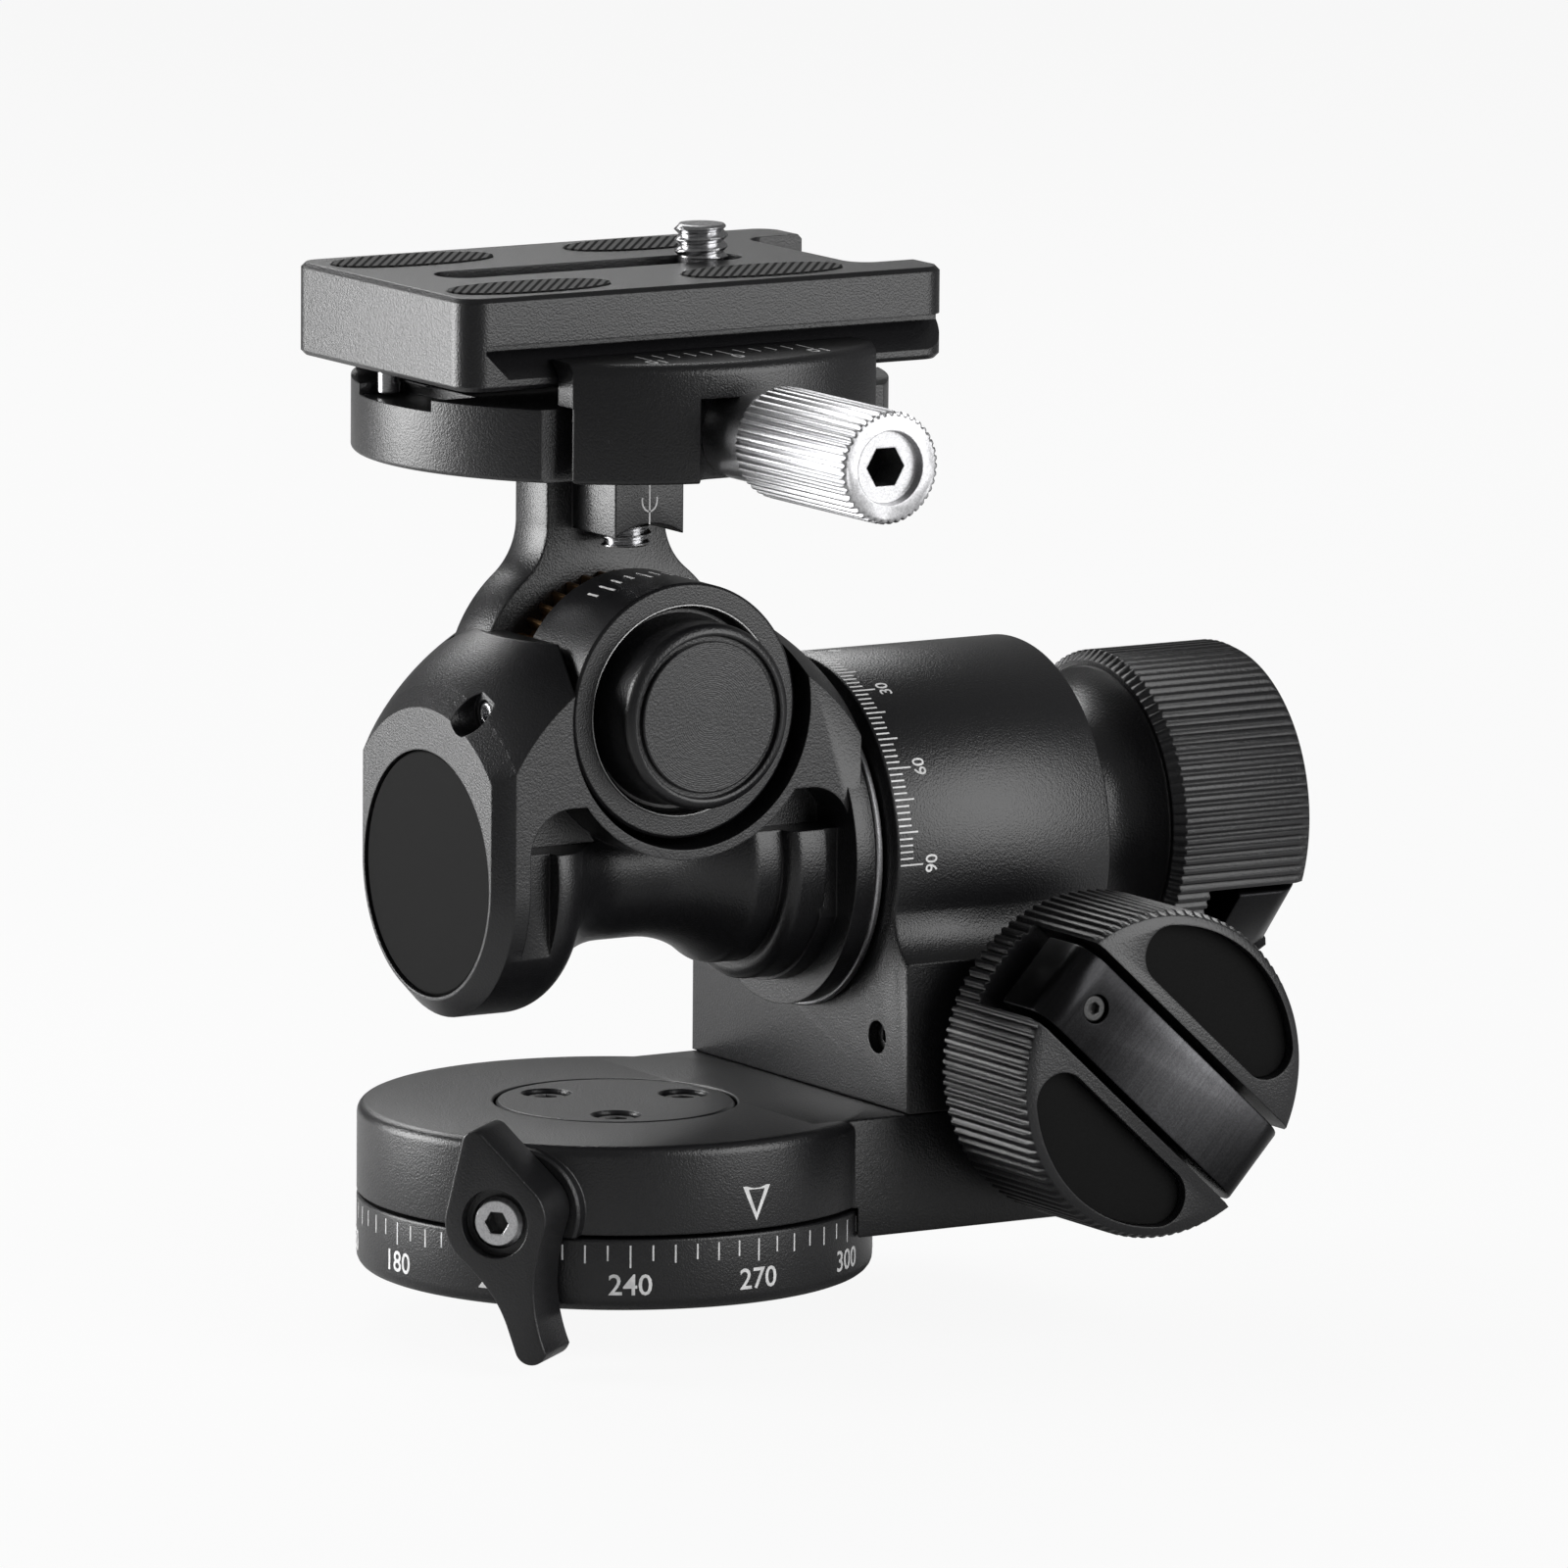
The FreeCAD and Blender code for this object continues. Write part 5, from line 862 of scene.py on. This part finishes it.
def brushed(name, tone, where):
    """Dark metal with brush marks across the bar and a painted highlight that makes its middle paler; where
    is the knob's place in mm.
    """
    m = coated(name, tone, 0.27, 0.05, 5200.0, metal=1.0)
    n, link = m.node_tree.nodes, m.node_tree.links
    place = n.new("ShaderNodeTexCoord")
    back = where.to_3x3().transposed()
    shift = -(back @ where.translation) / 1000
    first = n.new("ShaderNodeMapping")
    first.vector_type = "POINT"
    first.inputs["Rotation"].default_value = back.to_euler()
    first.inputs["Location"].default_value = shift
    link.new(place.outputs["Object"], first.inputs["Vector"])
    stretch = n.new("ShaderNodeMapping")
    stretch.inputs["Scale"].default_value = (5200, 90, 90)
    lines = n.new("ShaderNodeTexNoise")
    lines.inputs["Scale"].default_value = 1.0
    lines.inputs["Detail"].default_value = 4.0
    link.new(first.outputs["Vector"], stretch.inputs["Vector"])
    link.new(stretch.outputs["Vector"], lines.inputs["Vector"])
    parts = n.new("ShaderNodeSeparateXYZ")
    link.new(first.outputs["Vector"], parts.inputs["Vector"])
    # painted highlight: the bar's base colour is made brighter near its middle and darker towards its ends,
    # in place of a reflection
    painted_sheen = n.new("ShaderNodeMapRange")
    painted_sheen.interpolation_type = "SMOOTHSTEP"
    far = n.new("ShaderNodeMath")
    far.operation = "ABSOLUTE"
    middle = n.new("ShaderNodeMath")
    middle.operation = "SUBTRACT"
    middle.inputs[1].default_value = 0.003
    link.new(parts.outputs["X"], middle.inputs[0])
    link.new(middle.outputs["Value"], far.inputs[0])
    link.new(far.outputs["Value"], painted_sheen.inputs["Value"])
    painted_sheen.inputs["From Max"].default_value = 0.014
    painted_sheen.inputs["To Min"].default_value = 2.2
    painted_sheen.inputs["To Max"].default_value = 0.55
    streak = n.new("ShaderNodeMapRange")
    streak.inputs["To Min"].default_value = 0.6
    streak.inputs["To Max"].default_value = 1.4
    link.new(lines.outputs["Fac"], streak.inputs["Value"])
    both = n.new("ShaderNodeMath")
    both.operation = "MULTIPLY"
    link.new(painted_sheen.outputs["Result"], both.inputs[0])
    link.new(streak.outputs["Result"], both.inputs[1])
    toned = n.new("ShaderNodeVectorMath")
    toned.operation = "SCALE"
    link.new(n["Color Ramp"].outputs["Color"], toned.inputs[0])
    link.new(both.outputs["Value"], toned.inputs["Scale"])
    link.new(toned.outputs["Vector"], n["Principled BSDF"].inputs["Base Color"])
    return m


def well(side, grow=0.0):
    """Half-moon outline on one side of the bar."""
    low, outer, corner = WELL_INNER - grow, WELL_OUTER + grow, WELL_CORNER + grow
    cy = low + corner
    cx = math.sqrt((outer - corner) ** 2 - cy ** 2)
    k = outer / (outer - corner)
    ends = [(-cx, low), (cx, low), (cx * k, cy * k), (-cx * k, cy * k)]
    if side < 0:
        ends = [(-x, -y) for x, y in ends]
    return [ends[0] + (corner,), ends[1], ends[2] + (corner,), ends[3] + (outer,)]


def make_knob(prefix, where, body, bar_body, neck_length):
    """Neck, fluted grip, inlays, bar and screw of one knob about its own Z."""
    neck = lathe([(4.0, -neck_length), (12.6, -neck_length), (12.6, -neck_length * 0.45),
                  (17.4, 0, -9.0), (4.0, 0)], where, 160)
    piece(prefix + "_neck", neck, BLACK, body, [prefix + "_knob_neck"])
    knurled = fluted(KNOB, 0.42, 96, 0.0, KNOB_LONG, 1.2, 1.5)
    knurled = carve(knurled, ("-", box(-30, 30, -5.8, 5.8, 5.6, 30)),
                    ("-", prism(well(1), WELL_FLOOR, 22)), ("-", prism(well(-1), WELL_FLOOR, 22)))
    knurled.transform(where)
    piece(prefix + "_grip", knurled, BLACK, body, [prefix + "_knob_grip"])
    inlays = merged(*[prism(well(side, -0.1), WELL_FLOOR - 0.1, WELL_FLOOR + 0.6) for side in (1, -1)])
    inlays.transform(where)
    piece(prefix + "_inlays", inlays, INLAY, body, [prefix + "_knob_inlays"])
    reach = math.sqrt((KNOB - 0.2) ** 2 - BAR_HALF ** 2)
    round_start, shoulder = BAR_TOP - 3.4, BAR_TOP - 1.0
    bar = prism([(-reach, 10), (reach, 10), (reach, round_start), (reach - 1.0, shoulder, 3.4),
                 (reach - 3.4, BAR_TOP, 3.4), (3.4 - reach, BAR_TOP), (1.0 - reach, shoulder, 3.4),
                 (-reach, round_start, 3.4)], -BAR_HALF, BAR_HALF, "XZ", soft=0.3, sharp=50)
    bar = carve(bar, ("-", rod(1.7, 17, 20, at(BAR_SCREW_X, 0), 48)))
    bar = merged(bar, rod(2.6, 4.3, 10.2, None, 40))
    bar.transform(where)
    # the bar's material holds a painted highlight along its middle as well as the brush marks
    metal = brushed(prefix + "_brushed_black", (0.045, 0.045, 0.047), where)
    piece(prefix + "_bar", bar, metal, bar_body, [prefix + "_release_bar"])
    small = socket_screw(1.6, 17, 18.4, 1.3, 0.9, where @ at(BAR_SCREW_X, 0), 0.2)
    piece(prefix + "_bar_screw_head", small, DARK, bar_body, [prefix + "_bar_screw"])


REAR_START, REAR_TURN, REAR_NECK = 65.1, -49, 10.75
LOWER_X, LOWER_Y, LOWER_Z, LOWER_TURN, LOWER_NECK = 45.5, -28.3, 25.6, -42.4, 3.75
make_knob("rear", at(REAR_START, 0, AXIS, TO_X, REAR_TURN), "tilt_worm", "rear_bar", REAR_NECK)
make_knob("lower", at(LOWER_X, LOWER_Y, LOWER_Z, TO_FRONT, LOWER_TURN), "roll_worm", "lower_bar", LOWER_NECK)


# ---- Inner pieces shown as the frame's own nodes: bronze wheels and pad, brass bushes, steel shafts.
# Each gets a procedural finish; they show only in gaps such as the one beside the tilt drum.
# They stay the CAD nodes, so nothing here rides or stands for anything.
BRONZE = coated("bronze_gear", (0.42, 0.25, 0.12), 0.3, 0.1, 900.0, metal=0.9)
BRASS = coated("brass_bush", (0.6, 0.45, 0.2), 0.35, 0.05, 900.0, metal=0.9)
finishes = {"bronze": BRONZE, "brass": BRASS, "dark_steel": DARK, "bright_steel": STEEL,
            "black_plastic": INLAY, "black_anodised": BLACK, "silver_alloy": SILVER, "black_lever": BLACK}
for row in frame["record"]["subparts"]:
    node = frame["nodes"].get(row["node"])
    if node is not None and not node.hide_render:
        node.data.materials.clear()
        node.data.materials.append(finishes.get(row["material_slot"], BLACK))


# ---- Stage: pale floor 6 mm below the dial and white surroundings, in metres. Soft lamps stand at the front
# right, at the left and high at the back. The camera stands 1.87 m off with a long lens, a little above.
# None of this belongs to the object.
FLOOR = -0.006
FLOOR_GLOW = 0.92
SKY = 0.15
CAMERA_TURN, CAMERA_RISE, CAMERA_ROLL = -31.39, 9.30, 0.46
CAMERA_FAR, CAMERA_LENS = 1.8746, 371.9
CAMERA_SIDE, CAMERA_DOWN = 0.019308, 0.003374
bpy.ops.mesh.primitive_plane_add(size=8, location=(0, 0, FLOOR))
floor = bpy.context.object
floor.name = "floor"
paper = bpy.data.materials.new("paper")
paper.use_nodes = True
nodes, links = paper.node_tree.nodes, paper.node_tree.links
nodes["Principled BSDF"].inputs["Base Color"].default_value = (0.6, 0.6, 0.6, 1)
nodes["Principled BSDF"].inputs["Roughness"].default_value = 0.9
glow = nodes.new("ShaderNodeEmission")
glow.inputs["Color"].default_value = (1, 1, 1, 1)
rays = nodes.new("ShaderNodeLightPath")
share = nodes.new("ShaderNodeMath")
share.operation = "MULTIPLY"
share.inputs[1].default_value = FLOOR_GLOW
blend = nodes.new("ShaderNodeMixShader")
links.new(rays.outputs["Is Camera Ray"], share.inputs[0])
links.new(share.outputs["Value"], blend.inputs["Fac"])
links.new(nodes["Principled BSDF"].outputs["BSDF"], blend.inputs[1])
links.new(glow.outputs["Emission"], blend.inputs[2])
links.new(blend.outputs["Shader"], nodes["Material Output"].inputs["Surface"])
floor.data.materials.append(paper)

world = bpy.data.worlds.new("surroundings")
bpy.context.scene.world = world
world.use_nodes = True
nodes, links = world.node_tree.nodes, world.node_tree.links
shade = nodes["Background"]
shade.inputs["Color"].default_value = (1, 1, 1, 1)
shade.inputs["Strength"].default_value = SKY
white = nodes.new("ShaderNodeBackground")
white.inputs["Color"].default_value = (1, 1, 1, 1)
white.inputs["Strength"].default_value = 1.0
rays = nodes.new("ShaderNodeLightPath")
choice = nodes.new("ShaderNodeMixShader")
links.new(rays.outputs["Is Camera Ray"], choice.inputs["Fac"])
links.new(shade.outputs["Background"], choice.inputs[1])
links.new(white.outputs["Background"], choice.inputs[2])
links.new(choice.outputs["Shader"], nodes["World Output"].inputs["Surface"])


def lamp(name, place, target, size, power):
    """Square soft light that looks at a point, in metres."""
    light = bpy.data.lights.new(name, "AREA")
    light.size = size
    light.energy = power
    obj = bpy.data.objects.new(name, light)
    bpy.context.collection.objects.link(obj)
    obj.location = place
    obj.rotation_euler = (Vector(target) - Vector(place)).to_track_quat("-Z", "Y").to_euler()


lamp("key", (0.26, -0.43, 0.22), (0, 0, 0.06), 0.42, 1.9)
lamp("left", (-0.31, 0.25, 0.13), (0, 0, 0.08), 0.25, 2.0)
lamp("top", (0.2, 0.8, 0.75), (0, 0, 0.06), 0.6, 5)

az, el, roll = math.radians(CAMERA_TURN), math.radians(CAMERA_RISE), math.radians(CAMERA_ROLL)
d = Vector((math.sin(az) * math.cos(el), -math.cos(az) * math.cos(el), math.sin(el)))
right = Vector((math.cos(az), math.sin(az), 0))
up = d.cross(right)
aim_point = Vector((0, 0, 0.060)) + right * CAMERA_SIDE - up * CAMERA_DOWN
camera = bpy.data.objects.new("camera", bpy.data.cameras.new("camera"))
bpy.context.collection.objects.link(camera)
camera.data.sensor_width = 36
camera.data.lens = CAMERA_LENS
camera.data.clip_end = 50
turned_right = right * math.cos(roll) + up * math.sin(roll)
turned_up = up * math.cos(roll) - right * math.sin(roll)
basis = Matrix((turned_right, turned_up, d)).transposed().to_4x4()
camera.matrix_world = Matrix.Translation(aim_point + d * CAMERA_FAR) @ basis
bpy.context.scene.camera = camera
bpy.context.scene.view_settings.view_transform = "Standard"
